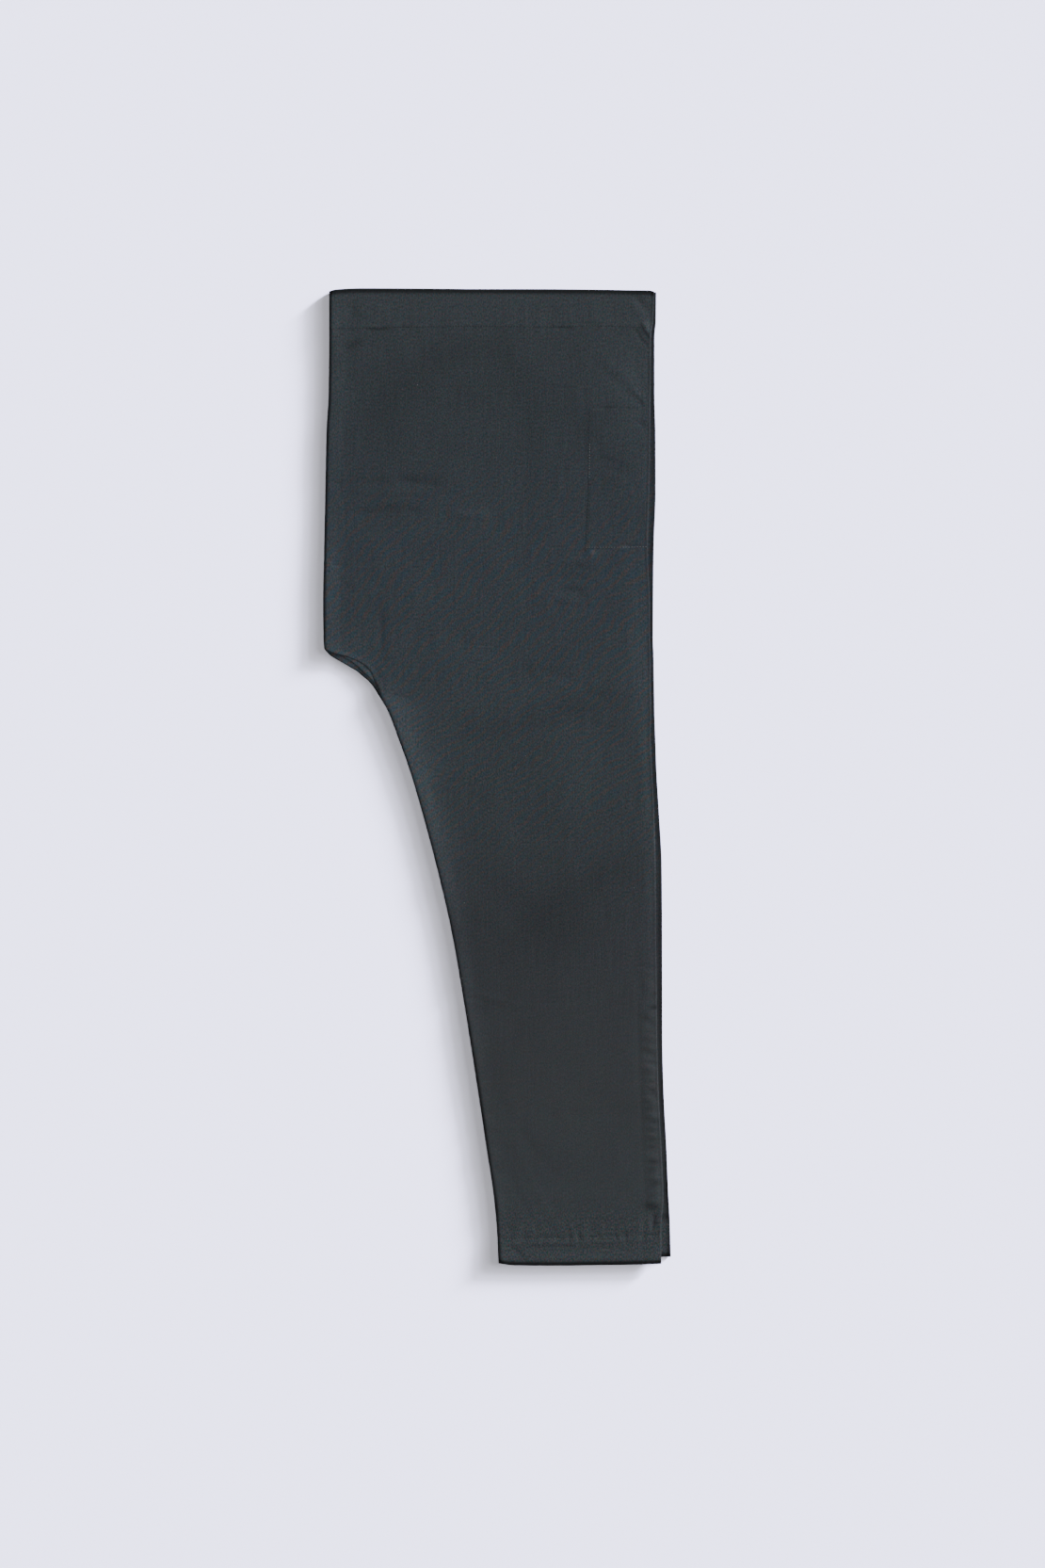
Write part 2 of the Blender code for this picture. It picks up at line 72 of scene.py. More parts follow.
SECTIONS = (
    Section(0, -174.6, -174.6, -174.6, 165.4, 167.7),
    Section(30, -174.6, -174.6, -174.6, 164.4, 167.3),
    Section(46, -174.6, -174.6, -174.6, 162.2, 165.9),
    Section(110, -175.2, -175.2, -175.2, 161.8, 165.9),
    Section(150, -177.4, -177.4, -177.4, 161.2, 166.9),
    Section(210, -178.6, -178.6, -178.6, 160.4, 167.1),
    Section(270, -179.8, -179.8, -179.8, 158.6, 165.1),
    Section(330, -180.9, -180.9, -180.9, 161.0, 164.5),
    Section(367, -180.4, -180.4, -180.4, 161.2, 164.3),
    Section(376, -179.6, -179.6, -179.6, 161.4, 164.7),
    Section(380, -172.5, -174.0, -176.4, 161.4, 164.9),
    Section(383, -160.5, -163.5, -173.4, 161.5, 164.9),
    Section(387, -149.6, -155.0, -167.0, 161.5, 165.0),
    Section(391, -141.4, -149.6, -160.2, 161.6, 165.1),
    Section(395, -135.8, -144.6, -153.2, 161.6, 165.1),
    Section(400, -131.6, -139.6, -144.8, 161.7, 165.2),
    Section(405, -129.2, -134.0, -139.0, 161.7, 165.3),
    Section(410, -127.2, -129.6, -133.2, 161.8, 165.4),
    Section(417, -123.6, -124.2, -127.6, 161.9, 165.5),
    Section(426, -121.0, -121.2, -122.0, 162.1, 165.7),
    Section(442, -112.6, -112.6, -112.2, 162.4, 165.9),
    Section(466, -103.4, -103.4, -102.6, 161.8, 166.7),
    Section(505, -89.6, -89.6, -88.6, 163.4, 168.1),
    Section(545, -77.8, -77.8, -76.8, 165.4, 170.5),
    Section(604, -62.0, -62.0, -61.0, 167.0, 173.5),
    Section(663, -48.2, -48.2, -47.2, 167.2, 173.9),
    Section(722, -37.4, -37.4, -36.4, 168.0, 174.0),
    Section(782, -27.6, -27.6, -26.6, 168.6, 174.1),
    Section(840, -18.6, -18.6, -17.6, 170.1, 175.5),
    Section(900, -9.6, -9.6, -8.6, 173.1, 178.5),
    Section(950, -2.0, -2.0, -1.0, 175.1, 180.3),
    Section(985, 1.2, 1.2, 2.2, 173.0, 181.9),
    Section(1021, 2.8, 2.8, 3.8, 172.8, 182.9),
)


class BandLine(NamedTuple):
    """Where the waist's or the foot's edge and the stitched line beside it fall."""

    across: float
    edge: float
    stitches: float


WAIST_LINE = (
    BandLine(-175, 2.2, 41.6), BandLine(-166, 0.2, 41.4), BandLine(-140, -0.9, 41.0),
    BandLine(-110, -0.8, 40.2), BandLine(-56, -0.4, 39.5),
    BandLine(-30, -0.1, 39.2), BandLine(52, 0.0, 39.6), BandLine(76, 0.2, 39.6),
    BandLine(96, 0.4, 38.4), BandLine(142, 1.1, 39.8), BandLine(160, 1.3, 41.0),
    BandLine(166, 2.8, 41.8),
)
FOOT_LINE = (
    BandLine(2, 1018.6, 993.5), BandLine(20, 1020.6, 993.5), BandLine(60, 1021.0, 993.3),
    BandLine(110, 1020.4, 991.8), BandLine(150, 1019.8, 990.6), BandLine(174, 1019.0, 990.2),
)


def smooth(share: Points | float) -> Points | float:
    """Soften a share: 0 below 0, 1 above 1, level at both ends."""
    share = np.clip(share, 0.0, 1.0)
    return share * share * (3.0 - 2.0 * share)


def blend(start: Points | float, end: Points | float, share: Points | float) -> Points | float:
    """Mix two values by a share."""
    return start + (end - start) * share


UNEVEN_VALUES = 1024
UNEVEN_START = 300.0
FAR_AWAY = 10.0


def uneven(place: Points, pitch: float, seed: int) -> Points:
    """Smooth values between -1 and 1 that change about once a pitch.

    Args:
        place: lengths along a line.
        pitch: about how far apart the turns are.
        seed: which run of values to give.

    Returns:
        One value for each length.
    """
    values = np.random.default_rng(seed).uniform(-1.0, 1.0, UNEVEN_VALUES)
    steps = place / pitch + UNEVEN_START
    index = np.clip(np.floor(steps).astype(int), 0, UNEVEN_VALUES - 2)
    return blend(values[index], values[index + 1], smooth(steps - index))


def wavering(place: Points, amount: float, pitch: float, seed: int) -> Points:
    """An uneven factor near 1."""
    return 1.0 + amount * uneven(place, pitch, seed)


def between(place: Points, start: float, end: float, soft: float, lead: float) -> Points:
    """1 between two places and 0 outside them, with soft ends that a lead moves outwards."""
    return smooth((place - start) / soft + lead) * smooth((end - place) / soft + lead)


def placed(name: str, data: bpy.types.ID) -> bpy.types.Object:
    """Put new data into the scene as an object at the origin."""
    piece = bpy.data.objects.new(name, data)
    bpy.context.scene.collection.objects.link(piece)
    return piece


def soft_spot(spot: Dimple | ShadeSpot, x: Points, drop: Points) -> Points:
    """Weigh points by how close they are to the middle of a soft oval.

    Args:
        spot: the oval, whose sizes are in millimetres.
        x: places across.
        drop: drops from the waist.

    Returns:
        1 in the oval's middle, falling to 0 outside it.
    """
    turn = math.radians(spot.turn)
    across = x - spot.x * MM
    down = drop - spot.drop * MM
    first = (across * math.cos(turn) + down * math.sin(turn)) / (spot.long * MM)
    second = (down * math.cos(turn) - across * math.sin(turn)) / (spot.short * MM)
    return np.exp(-(first ** 2 + second ** 2))


class Curve:
    """A cubic through a few places that doesn't overshoot them."""

    def __init__(self, places: Sequence[float], values: Sequence[float]) -> None:
        """Work out the slope at each place.

        Args:
            places: where the values are, in millimetres, rising.
            values: the values there, in millimetres.
        """
        self.places = np.array(places, float) * MM
        self.values = np.array(values, float) * MM
        slopes = np.diff(self.values) / np.diff(self.places)
        before, after = slopes[:-1], slopes[1:]
        total = np.where(before * after > 0, before + after, 1.0)
        middle = np.where(before * after > 0, 2.0 * before * after / total, 0.0)
        self.slopes = np.concatenate((slopes[:1], middle, slopes[-1:]))

    def at(self, place: Points | float) -> Points:
        """Read the curve.

        Args:
            place: one place or an array of them.

        Returns:
            The values there.
        """
        place = np.clip(place, self.places[0], self.places[-1])
        index = np.clip(np.searchsorted(self.places, place, side="right") - 1,
                        0, len(self.places) - 2)
        step = self.places[index + 1] - self.places[index]
        share = (place - self.places[index]) / step
        square = share * share
        cube = square * share
        return ((2 * cube - 3 * square + 1) * self.values[index]
                + (cube - 2 * square + share) * step * self.slopes[index]
                + (3 * square - 2 * cube) * self.values[index + 1]
                + (cube - square) * step * self.slopes[index + 1])


def read_table(rows: Sequence[NamedTuple]) -> dict[str, Curve]:
    """Make a curve of each named column over the first one."""
    names = rows[0]._fields
    places = [row[0] for row in rows]
    return {name: Curve(places, [getattr(row, name) for row in rows]) for name in names[1:]}


@dataclass
class Cut:
    """The outline, the stitched lines and the heights of the folded garment."""

    length: float = 1021 * MM
    casing_depth: float = 38 * MM
    hem_depth: float = 27.5 * MM
    far_hem_depth: float = 35 * MM
    far_leg_slip: float = 6.8 * MM
    crotch_start: float = 340 * MM
    crotch_end: float = 372 * MM
    edge_top: float = 5.85 * MM
    band_top: float = 7.45 * MM
    near_edge_top: float = 6.8 * MM
    middle_top: float = 7.4 * MM
    seam_top: float = 7.22 * MM
    edge_ramp: float = 34 * MM
    seam_ramp: float = 36 * MM
    pair_height: float = 2.75 * MM
    band_pair_height: float = 3.55 * MM
    bend_reach: float = 60 * MM
    slip_start: float = 860 * MM
    slip_reach: float = 130 * MM

    def __post_init__(self) -> None:
        """Read the tables into curves and index the near front's outline."""
        self.edges = read_table(SECTIONS)
        self.waist = read_table(WAIST_LINE)
        self.foot = read_table(FOOT_LINE)
        places = np.arange(30, 1006) * MM
        self.outline = KDTree(2 * len(places))
        for name in ("near_front", "near_side"):
            for drop, x in zip(places, self.edge(name, places)):
                self.outline.insert(Vector((x, drop, 0.0)), 0)
        self.outline.balance()

    @property
    def hem_start(self) -> float:
        """Drop of the near leg's hem line, where rows run straight across."""
        return self.length - self.hem_depth

    def edge(self, name: str, drop: Points | float) -> Points:
        """The x of a named edge at a drop."""
        return self.edges[name].at(drop)

    def fold_share(self, drop: Points | float) -> Points:
        """1 where the left edge is the folded centre, 0 where it is the inseam."""
        return 1.0 - smooth((drop - self.crotch_start) / (self.crotch_end - self.crotch_start))

    def bent(self, drop: Points, x: Points) -> Points:
        """Find where points really fall.

        Args:
            drop: the drop of each point's row, as if rows ran straight across.
            x: each point's place across.

        Returns:
            The drop of each point with the waist's, the casing's and the hem's curves.
        """
        waist_shift = self.waist["edge"].at(x)
        casing_shift = self.waist["stitches"].at(x) - self.casing_depth
        stitches_shift = self.foot["stitches"].at(x) - self.hem_start
        edge_shift = self.foot["edge"].at(x) - self.length
        in_casing = blend(waist_shift, casing_shift, drop / self.casing_depth)
        near_casing = 1.0 - smooth((drop - self.casing_depth) / self.bend_reach)
        near_hem = smooth((drop - self.hem_start + self.bend_reach) / self.bend_reach)
        in_body = casing_shift * near_casing + stitches_shift * near_hem
        in_hem = blend(stitches_shift, edge_shift, (drop - self.hem_start) / self.hem_depth)
        shift = np.where(drop <= self.casing_depth, in_casing, in_body)
        return drop + np.where(drop >= self.hem_start, in_hem, shift)

    def slip(self, drop: Points | float) -> Points:
        """How much nearer the waist the far leg lies at a drop."""
        return self.far_leg_slip * smooth((drop - self.slip_start) / self.slip_reach)

    def y_at(self, drop: Points, x: Points, is_far: bool) -> Points:
        """The y of points on the near or the far leg."""
        slip = self.slip(drop) if is_far else 0.0
        return self.length / 2 - self.bent(drop, x) + slip

    def away_from(self, name: str, x: Points, drop: Points) -> Points:
        """How far points lie from the waist, the foot or a named side edge."""
        if name == "waist":
            return drop
        if name == "foot":
            return self.length - drop
        return np.abs(x - self.edge(name, drop))

    def inside(self, x: Points, drop: Points) -> Points:
        """How far points lie inside the near front's side edges, 0 outside them."""
        places = zip(x.ravel(), drop.ravel())
        found = [self.outline.find((across, down, 0.0))[2] for across, down in places]
        outside = (x <= self.edge("near_front", drop)) | (x >= self.edge("near_side", drop))
        return np.where(outside, 0.0, np.array(found).reshape(x.shape))

    def seam_away(self, drop: Points, hem_depth: float) -> Points:
        """How far points lie from the casing and the hem, below 0 in them."""
        return np.minimum(drop - self.casing_depth, self.length - hem_depth - drop)

    def stack_top(self, x: Points, drop: Points) -> Points:
        """Height of the near front's upper face without its creases."""
        away = self.seam_away(drop, self.hem_depth)
        inside = smooth(self.inside(x, drop) / self.edge_ramp)
        height = blend(self.near_edge_top, self.middle_top, inside)
        height = blend(self.seam_top, height, smooth(away / self.seam_ramp))
        return np.where(away <= 0.0, self.band_top, height)


class Crease(NamedTuple):
    """A soft ridge along (x, drop) points, or a trough where its height is below 0.

    A lean from -1 to 1 makes the side to the right of the way along steeper.
    """

    points: tuple[tuple[float, float], ...]
    height: float
    width: float
    lean: float = 0.0


class Dimple(NamedTuple):
    """A round hollow, or a swell where its height is above 0; turn is in degrees."""

    x: float
    drop: float
    long: float
    short: float
    turn: float
    height: float


class Puckers(NamedTuple):
    """Small uneven ripples that stand across a line of (x, drop) points."""

    points: tuple[tuple[float, float], ...]
    pitch: float
    reach: float
    height: float
    seed: int


class EdgeBand(NamedTuple):
    """A low rounded ridge that runs along one of the garment's edges."""

    edge: str
    start: float
    end: float
    inset: float
    width: float
    height: float
    seed: int


class Pad(NamedTuple):
    """Cloth that lies a little higher over something under it."""

    left: tuple[tuple[float, float], ...]
    top: float
    foot: float
    soft: float
    height: float


class ShadeSpot(NamedTuple):
    """A soft spot of painted light where its gain is above 0, or of painted shade where it is below
    0.
    """

    x: float
    drop: float
    long: float
    short: float
    turn: float
    gain: float


class EdgeShade(NamedTuple):
    """A band of painted light along one of the garment's edges, or of painted shade where its gain
    is below 0.
    """

    edge: str
    start: float
    end: float
    width: float
    gain: float


@dataclass
class PaintedShading:
    """Where light and shade are painted into one sheet's colour, and where it keeps its own colour.
    """

    cut: Cut
    shade_spots: Sequence[ShadeSpot] = ()
    edges: Sequence[EdgeShade] = ()

    def gain(self, x: Points, drop: Points) -> Points:
        """Add up the painted light and shade at points.

        Args:
            x: places across.
            drop: drops from the waist.

        Returns:
            How much paler (painted light) or darker (painted shade) each point is, 0 where the cloth
            is unchanged.
        """
        total = np.zeros(x.shape)
        for fade in self.shade_spots:
            total += soft_spot(fade, x, drop) * fade.gain
        for band in self.edges:
            away = self.cut.away_from(band.edge, x, drop) / (band.width * MM)
            along = between(drop, band.start * MM, band.end * MM, soft=40 * MM, lead=0.5)
            wobble = wavering(drop, amount=0.25, pitch=30 * MM, seed=int(band.width))
            total += band.gain * along * wobble * np.exp(-away ** 4)
        return total


@dataclass
class Relief:
    """Everything that raises or lowers one sheet's face from its plain form."""

    cut: Cut
    creases: Sequence[Crease] = ()
    dimples: Sequence[Dimple] = ()
    puckers: Sequence[Puckers] = ()
    bands: Sequence[EdgeBand] = ()
    pads: Sequence[Pad] = ()
    swell: float = 0.3 * MM
    seed: int = 3
    swell_lengths: tuple[float, ...] = (0.24, 0.15, 0.095, 0.06, 0.038, 0.024)
    swells_each: int = 3
    end_share: float = 0.3
    end_lead: float = 0.1
    slant: float = 0.35
    steady: float = 0.6
    unsteady: float = 0.5
    beyond: float = 0.3
    stray: float = 0.8 * MM
    stray_pitch: float = 42 * MM

    def height(self, x: Points, drop: Points) -> Points:
        """Add up the relief at points.

        Args:
            x: places across.
            drop: drops from the waist.

        Returns:
            The height to add at each point.
        """
        total = self.swells(x, drop)
        for crease in self.creases:
            total = total + self.crease_height(crease, x, drop)
        for dimple in self.dimples:
            total = total + dimple.height * MM * soft_spot(dimple, x, drop)
        for puckers in self.puckers:
            total = total + self.pucker_height(puckers, x, drop)
        for band in self.bands:
            total = total + self.band_height(band, x, drop)
        for pad in self.pads:
            total = total + self.pad_height(pad, x, drop)
        return total

    def swells(self, x: Points, drop: Points) -> Points:
        """Slow uneven rise and fall of cloth that isn't pressed flat."""
        rng = np.random.default_rng(self.seed)
        total = np.zeros(x.shape)
        longest = self.swell_lengths[0]
        for length in self.swell_lengths:
            for _ in range(self.swells_each):
                angle = rng.uniform(0.0, math.pi)
                phase = rng.uniform(0.0, 2.0 * math.pi)
                along = x * math.cos(angle) + drop * math.sin(angle)
                total += np.sin(along * 2.0 * math.pi / length + phase) * length / longest
        return total * self.swell / self.swells_each

    @staticmethod
    def follow(points: Sequence[tuple[float, float]], x: Points,
               drop: Points) -> tuple[Points, Points, float]:
        """Measure points against a line.

        Args:
            points: the line's (x, drop) points, in millimetres.
            x: places across.
            drop: drops from the waist.

        Returns:
            The distance from the line, above 0 on its right, how far along it the
            nearest place is, and its whole length.
        """
        route = np.array(points, float) * MM
        nearest = np.full(x.shape, FAR_AWAY)
        along = np.zeros(x.shape)
        walked = 0.0
        for start, end in zip(route, route[1:]):
            length = float(np.hypot(*(end - start)))
            run = (end - start) / length
            share = (x - start[0]) * run[0] + (drop - start[1]) * run[1]
            share = np.clip(share, 0.0, length)
            off_x = x - start[0] - run[0] * share
            off_drop = drop - start[1] - run[1] * share
            away = np.hypot(off_x, off_drop)
            side = np.where(off_drop * run[0] - off_x * run[1] > 0.0, 1.0, -1.0)
            closer = away < np.abs(nearest)
            nearest = np.where(closer, away * side, nearest)
            along = np.where(closer, walked + share, along)
            walked += length
        return nearest, along, walked

    def crease_height(self, crease: Crease, x: Points, drop: Points) -> Points:
        """Height of one crease, which fades out at both its ends."""
        away, along, total = self.follow(crease.points, x, drop)
        lean = np.where(away > 0.0, 1.0 - crease.lean, 1.0 + crease.lean)
        width = crease.width * MM * lean
        ends = smooth(np.minimum(along, total - along) / (self.end_share * total) + self.end_lead)
        seed = int(abs(crease.points[0][1]))
        wobble = wavering(along, amount=0.3, pitch=11 * MM, seed=seed)
        return crease.height * MM * ends * wobble * np.exp(-(away / width) ** 2)

    def pucker_height(self, puckers: Puckers, x: Points, drop: Points) -> Points:
        """Height of the ripples across one line."""
        away, along, total = self.follow(puckers.points, x, drop)
        pitch = puckers.pitch * MM
        slant = along + self.slant * away * uneven(along, 6 * pitch, puckers.seed + 7)
        ripples = uneven(slant, pitch / 2, puckers.seed)
        strength = self.steady + self.unsteady * uneven(along, 5 * pitch, puckers.seed + 1)
        reach = puckers.reach * MM * wavering(along, 0.4, 2 * pitch, puckers.seed + 2)
        inside = np.where((along > 0.0) & (along < total), 1.0, self.beyond)
        fade = np.exp(-(away / reach) ** 2) * inside
        return puckers.height * MM * ripples * strength * fade

    def band_height(self, band: EdgeBand, x: Points, drop: Points) -> Points:
        """Height of one ridge along an edge."""
        inward = -1.0 if band.edge.endswith("side") else 1.0
        away = (x - self.cut.edge(band.edge, drop)) * inward - band.inset * MM
        away = away + self.stray * uneven(drop, self.stray_pitch, band.seed)
        fade = between(drop, band.start * MM, band.end * MM, soft=30 * MM, lead=0.0)
        wobble = wavering(drop, amount=0.25, pitch=26 * MM, seed=band.seed + 1)
        return band.height * MM * fade * wobble * np.exp(-(away / (band.width * MM)) ** 2)

    @staticmethod
    def pad_height(pad: Pad, x: Points, drop: Points) -> Points:
        """Height over one pad, whose left side follows a line."""
        left = Curve([point[1] for point in pad.left], [point[0] for point in pad.left])
        soft = pad.soft * MM
        over = smooth((x - left.at(drop)) / soft + 0.5)
        over = over * smooth((drop - pad.top * MM) / soft + 0.5)
        return pad.height * MM * over * smooth((pad.foot * MM - drop) / soft + 0.5)


class FineRows(NamedTuple):
    """A place where rows lie closer together."""

    drop: float
    reach: float
    step: float


@dataclass
class SheetGrid:
    """Rows and columns of points over one sheet of cloth."""

    cut: Cut
    left: str
    right: str
    row_step: float
    fine_rows: Sequence[FineRows]
    middle_columns: int
    insets: Sequence[float]
    arc_steps: int = 6
    fine_share: float = 0.87
    fine_gain: float = 0.0
    fold_inset: float = 0.0
    shorter: float = 0.0
    left_round: float = 1.5 * MM
    fold_round: float = 3.2 * MM
    right_round: float = 1.8 * MM
    fine_width: float = 0.016
    samples: int = 400

    def drops(self) -> Points:
        """List the rows' drops, closer together at the fine places.

        Returns:
            An odd number of drops, from the waist's edge to the foot's edge.
        """
        rows = [self.shorter]
        last = self.cut.length - self.shorter
        while rows[-1] < last:
            step = self.row_step
            for fine in self.fine_rows:
                away = abs(rows[-1] - fine.drop * MM) / MM
                near = smooth((away - fine.reach) / max(3.0, 2.0 * fine.reach))
                step = min(step, blend(fine.step * MM, self.row_step, near))
            rows.append(rows[-1] + step)
        drops = np.array(rows)
        if len(drops) % 2 == 0:
            middle = len(drops) // 2
            drops = np.insert(drops, middle, (drops[middle - 1] + drops[middle]) / 2)
        return self.shorter + (drops - drops[0]) * (last - self.shorter) / (drops[-1] - drops[0])

    def left_edge(self, drops: Points) -> Points:
        """The sheet's own left edge, which lies further in where it is wrapped."""
        return self.cut.edge(self.left, drops) + self.fold_inset * self.cut.fold_share(drops)

    def right_edge(self, drops: Points) -> Points:
        """The sheet's own right edge."""
        return self.cut.edge(self.right, drops)

    def columns(self, drops: Points) -> Points:
        """Place the columns between the rounds at both edges.

        Args:
            drops: the rows' drops.

        Returns:
            The x of each column, an odd number of them for each drop.
        """
        left = self.left_edge(drops)[:, None]
        right = self.right_edge(drops)[:, None]
        fold = self.cut.fold_share(drops)[:, None]
        insets = np.array(self.insets)[None, :] * MM
        from_left = left + blend(self.left_round, self.fold_round, fold) + insets
        from_right = right - self.right_round - insets[:, ::-1]
        even = np.linspace(0.0, 1.0, self.samples)
        off = (even - self.fine_share) / self.fine_width
        density = 1.0 + self.fine_gain * np.exp(-off ** 2)
        total = np.cumsum(density)
        total = (total - total[0]) / (total[-1] - total[0])
        count = self.middle_columns + 1 - self.middle_columns % 2
        shares = np.interp(np.linspace(0.0, 1.0, count + 2), total, even)[None, 1:-1]
        between = blend(from_left[:, -1:], from_right[:, :1], shares)
        return np.hstack((from_left, between, from_right))


def quarter_round(edge: Points, inward: float, reach: Points, low: Points, high: Points,
                  steps: int) -> tuple[Points, Points]:
    """Points of a quarter round from an edge to where it levels out.

    Args:
        edge: the edge's x in each row.
        inward: 1 at a left edge, -1 at a right edge.
        reach: how far in the round runs.
        low: height at the edge.
        high: height where it levels out.
        steps: how many points, the level end left out.

    Returns:
        The x and the height of each point, a row of them for each edge.
    """
    angles = np.linspace(0.0, math.pi / 2, steps + 1)[None, :-1]
    x = edge[:, None] + inward * reach[:, None] * (1.0 - np.cos(angles))
    z = low[:, None] + (high - low)[:, None] * np.sin(angles)
    return x, z


def lowest_nearby(heights: Points) -> Points:
    """The lowest height within one point of every other point, so walls don't cross."""
    padded = np.pad(heights, 1, mode="edge")
    rows, columns = heights.shape
    shifted = [padded[i:i + rows, j:j + columns] for i in range(3) for j in range(3)]
    return np.minimum.reduce(shifted)[::2, ::2]


@dataclass
class ClothSheet:
    """One layer of cloth, a thin wall whose fine face shows and whose other is hidden."""

    name: str
    cut: Cut
    grid: SheetGrid
    relief: Relief
    painted_shading: PaintedShading
    thickness: float = 0.5 * MM
    band_thickness: float = 1.5 * MM
    end_round: float = 0.8 * MM
    is_far: bool = False
    faces_up: bool = True
    is_wrapped: bool = False
    seam_part: float = 0.06 * MM
    level_reach: float = 6 * MM
    tuck_room: float = 0.3 * MM
    thick_round: float = 2 * MM
    end_room: float = 0.45 * MM
    hidden_round: float = 0.6 * MM
    hidden_room: float = 0.25 * MM

    @property
    def hem_depth(self) -> float:
        """Depth of the sheet's own hem."""
        return self.cut.far_hem_depth if self.is_far else self.cut.hem_depth

    @property
    def side(self) -> float:
        """1 where the sheet's fine face is its upper one, or else -1."""
        return 1.0 if self.faces_up else -1.0

    def base(self, x: Points, drop: Points) -> Points:
        """Height of the fine face without its relief."""
        raise NotImplementedError

    def level(self, drop: Points) -> Points:
        """0 at the waist's and the foot's edges, where there is no relief, or else 1."""
        return smooth(np.minimum(drop, self.cut.length - drop) / self.level_reach)

    def outer(self, x: Points, drop: Points) -> Points:
        """Height of the fine face.

        Args:
            x: places across.
            drop: drops from the waist.

        Returns:
            The height of each point.
        """
        return self.base(x, drop) + self.side * self.relief.height(x, drop) * self.level(drop)

    def walls(self, drops: Points) -> Points:
        """Thickness in each row, more in the casing and the hem."""
        is_band = self.cut.seam_away(drops, self.hem_depth) <= 0.0
        return np.where(is_band, self.band_thickness, self.thickness)

    def seam_heights(self, drops: Points) -> tuple[Points, Points]:
        """Heights of the left and the right edge, where the sheet meets its neighbour."""
        cut = self.cut
        is_band = cut.seam_away(drops, cut.hem_depth) <= 0.0
        pair = np.where(is_band, cut.band_pair_height, cut.pair_height)
        stack = np.where(is_band, cut.band_top, cut.edge_top)
        middle = pair / 2 if self.is_far else stack - pair / 2
        seam = middle + self.side * self.seam_part
        centre = stack / 2 + (-self.seam_part if self.is_far else self.seam_part)
        left = blend(seam, centre, cut.fold_share(drops))
        return left, seam

    def faces(self) -> tuple[Points, Points, Points]:
        """Work out the sheet's two faces.

        Returns:
            The fine face's points, the other face's points with half as many rows and
            columns, and the rows' drops.
        """
        drops = self.grid.drops()
        columns = self.grid.columns(drops)
        down = np.repeat(drops[:, None], columns.shape[1], axis=1)
        walls = self.walls(drops)
        room = self.end_room
        if self.end_round > self.thick_round:
            room = self.band_thickness - self.tuck_room
        thin = self.thinning(drops, self.end_round, room)
        hidden_thin = self.thinning(drops, self.hidden_round, self.hidden_room)
        height = self.outer(columns, down)
        outer = height - self.side * thin[:, None]
        inner = self.side * lowest_nearby(self.side * height)
        inner = inner - self.side * (walls - hidden_thin)[::2, None]
        left_seam, right_seam = self.seam_heights(drops)
        fold = self.cut.fold_share(drops)
        left, right = self.grid.left_edge(drops), self.grid.right_edge(drops)
        left_reach, right_reach = columns[:, 0] - left, right - columns[:, -1]
        tuck = np.minimum(walls, right_reach - self.tuck_room)
        out_tuck = tuck * fold if self.is_wrapped else 0.0 * tuck
        in_tuck = tuck * (1.0 - fold) if self.is_wrapped else tuck
        steps = self.grid.arc_steps
        rounds = []
        for face, left_tuck, right_tuck, step in ((outer, out_tuck, 0.0 * tuck, 1),
                                                  (inner, in_tuck, tuck, 2)):
            rows = slice(None, None, step)
            lx, lz = quarter_round((left + left_tuck)[rows], 1.0, (left_reach - left_tuck)[rows],
                                   left_seam[rows], face[:, 0], steps // step)
            rx, rz = quarter_round((right - right_tuck)[rows], -1.0,
                                   (right_reach - right_tuck)[rows], right_seam[rows],
                                   face[:, -1], steps // step)
            x = np.hstack((lx, columns[rows, ::step], rx[:, ::-1]))
            z = np.hstack((lz, face, rz[:, ::-1]))
            across_drops = np.repeat(drops[rows, None], x.shape[1], axis=1)
            rounds.append(np.dstack((x, self.cut.y_at(across_drops, x, self.is_far), z)))
        return rounds[0], rounds[1], drops

    @staticmethod
    def thinning(drops: Points, reach: float, room: float) -> Points:
        """How much a face gives way to round the waist's and the foot's edges."""
        ends = np.minimum(drops - drops[0], drops[-1] - drops) / reach
        share = np.clip(ends, 0.0, 1.0)
        return room * (1.0 - np.sqrt(share * (2.0 - share)))

    def build(self) -> bpy.types.Object:
        """Make the sheet's mesh.

        Returns:
            The piece, with a UV map in metres and attributes for double cloth and painted light and
            shade.
        """
        outer, inner, drops = self.faces()
        rows, columns = outer.shape[:2]
        faces, starts = self.corners(rows, columns)
        points = np.concatenate((outer.reshape(-1, 3), inner.reshape(-1, 3)))
        mesh = bpy.data.meshes.new(self.name)
        mesh.vertices.add(len(points))
        mesh.vertices.foreach_set("co", points.ravel())
        mesh.loops.add(len(faces))
        mesh.loops.foreach_set("vertex_index", faces)
        mesh.polygons.add(len(starts))
        mesh.polygons.foreach_set("loop_start", starts)
        mesh.update(calc_edges=True)
        flat = self.cloth_map(outer)
        flat = np.concatenate((flat.reshape(-1, 2), flat[::2, ::2].reshape(-1, 2)))
        mesh.uv_layers.new(name="cloth").data.foreach_set("uv", flat[faces].ravel())
        marks = mesh.attributes.new("double_cloth", "FLOAT", "POINT")
        doubled = smooth(-self.cut.seam_away(drops, self.hem_depth) / MM + 0.5)
        doubled = np.concatenate((np.repeat(doubled, columns),
                                  np.repeat(doubled[::2], (columns + 1) // 2)))
        marks.data.foreach_set("value", doubled)
        # Painted light and shade: paler and darker spots and bands that stand in for where light and
        # shade fall on this sheet.
        painted_light_and_shade = self.painted_shading.gain(outer[:, :, 0], np.repeat(drops[:, None], columns, axis=1))
        marks = mesh.attributes.new("painted_shading", "FLOAT", "POINT")
        marks.data.foreach_set("value", np.concatenate((painted_light_and_shade.ravel(), painted_light_and_shade[::2, ::2].ravel())))
        mesh.shade_smooth()
        mesh.validate()
        piece = placed(self.name, mesh)
        LOG.info("%s: %d rows, %d columns, %d faces", self.name, rows, columns, len(starts))
        return piece

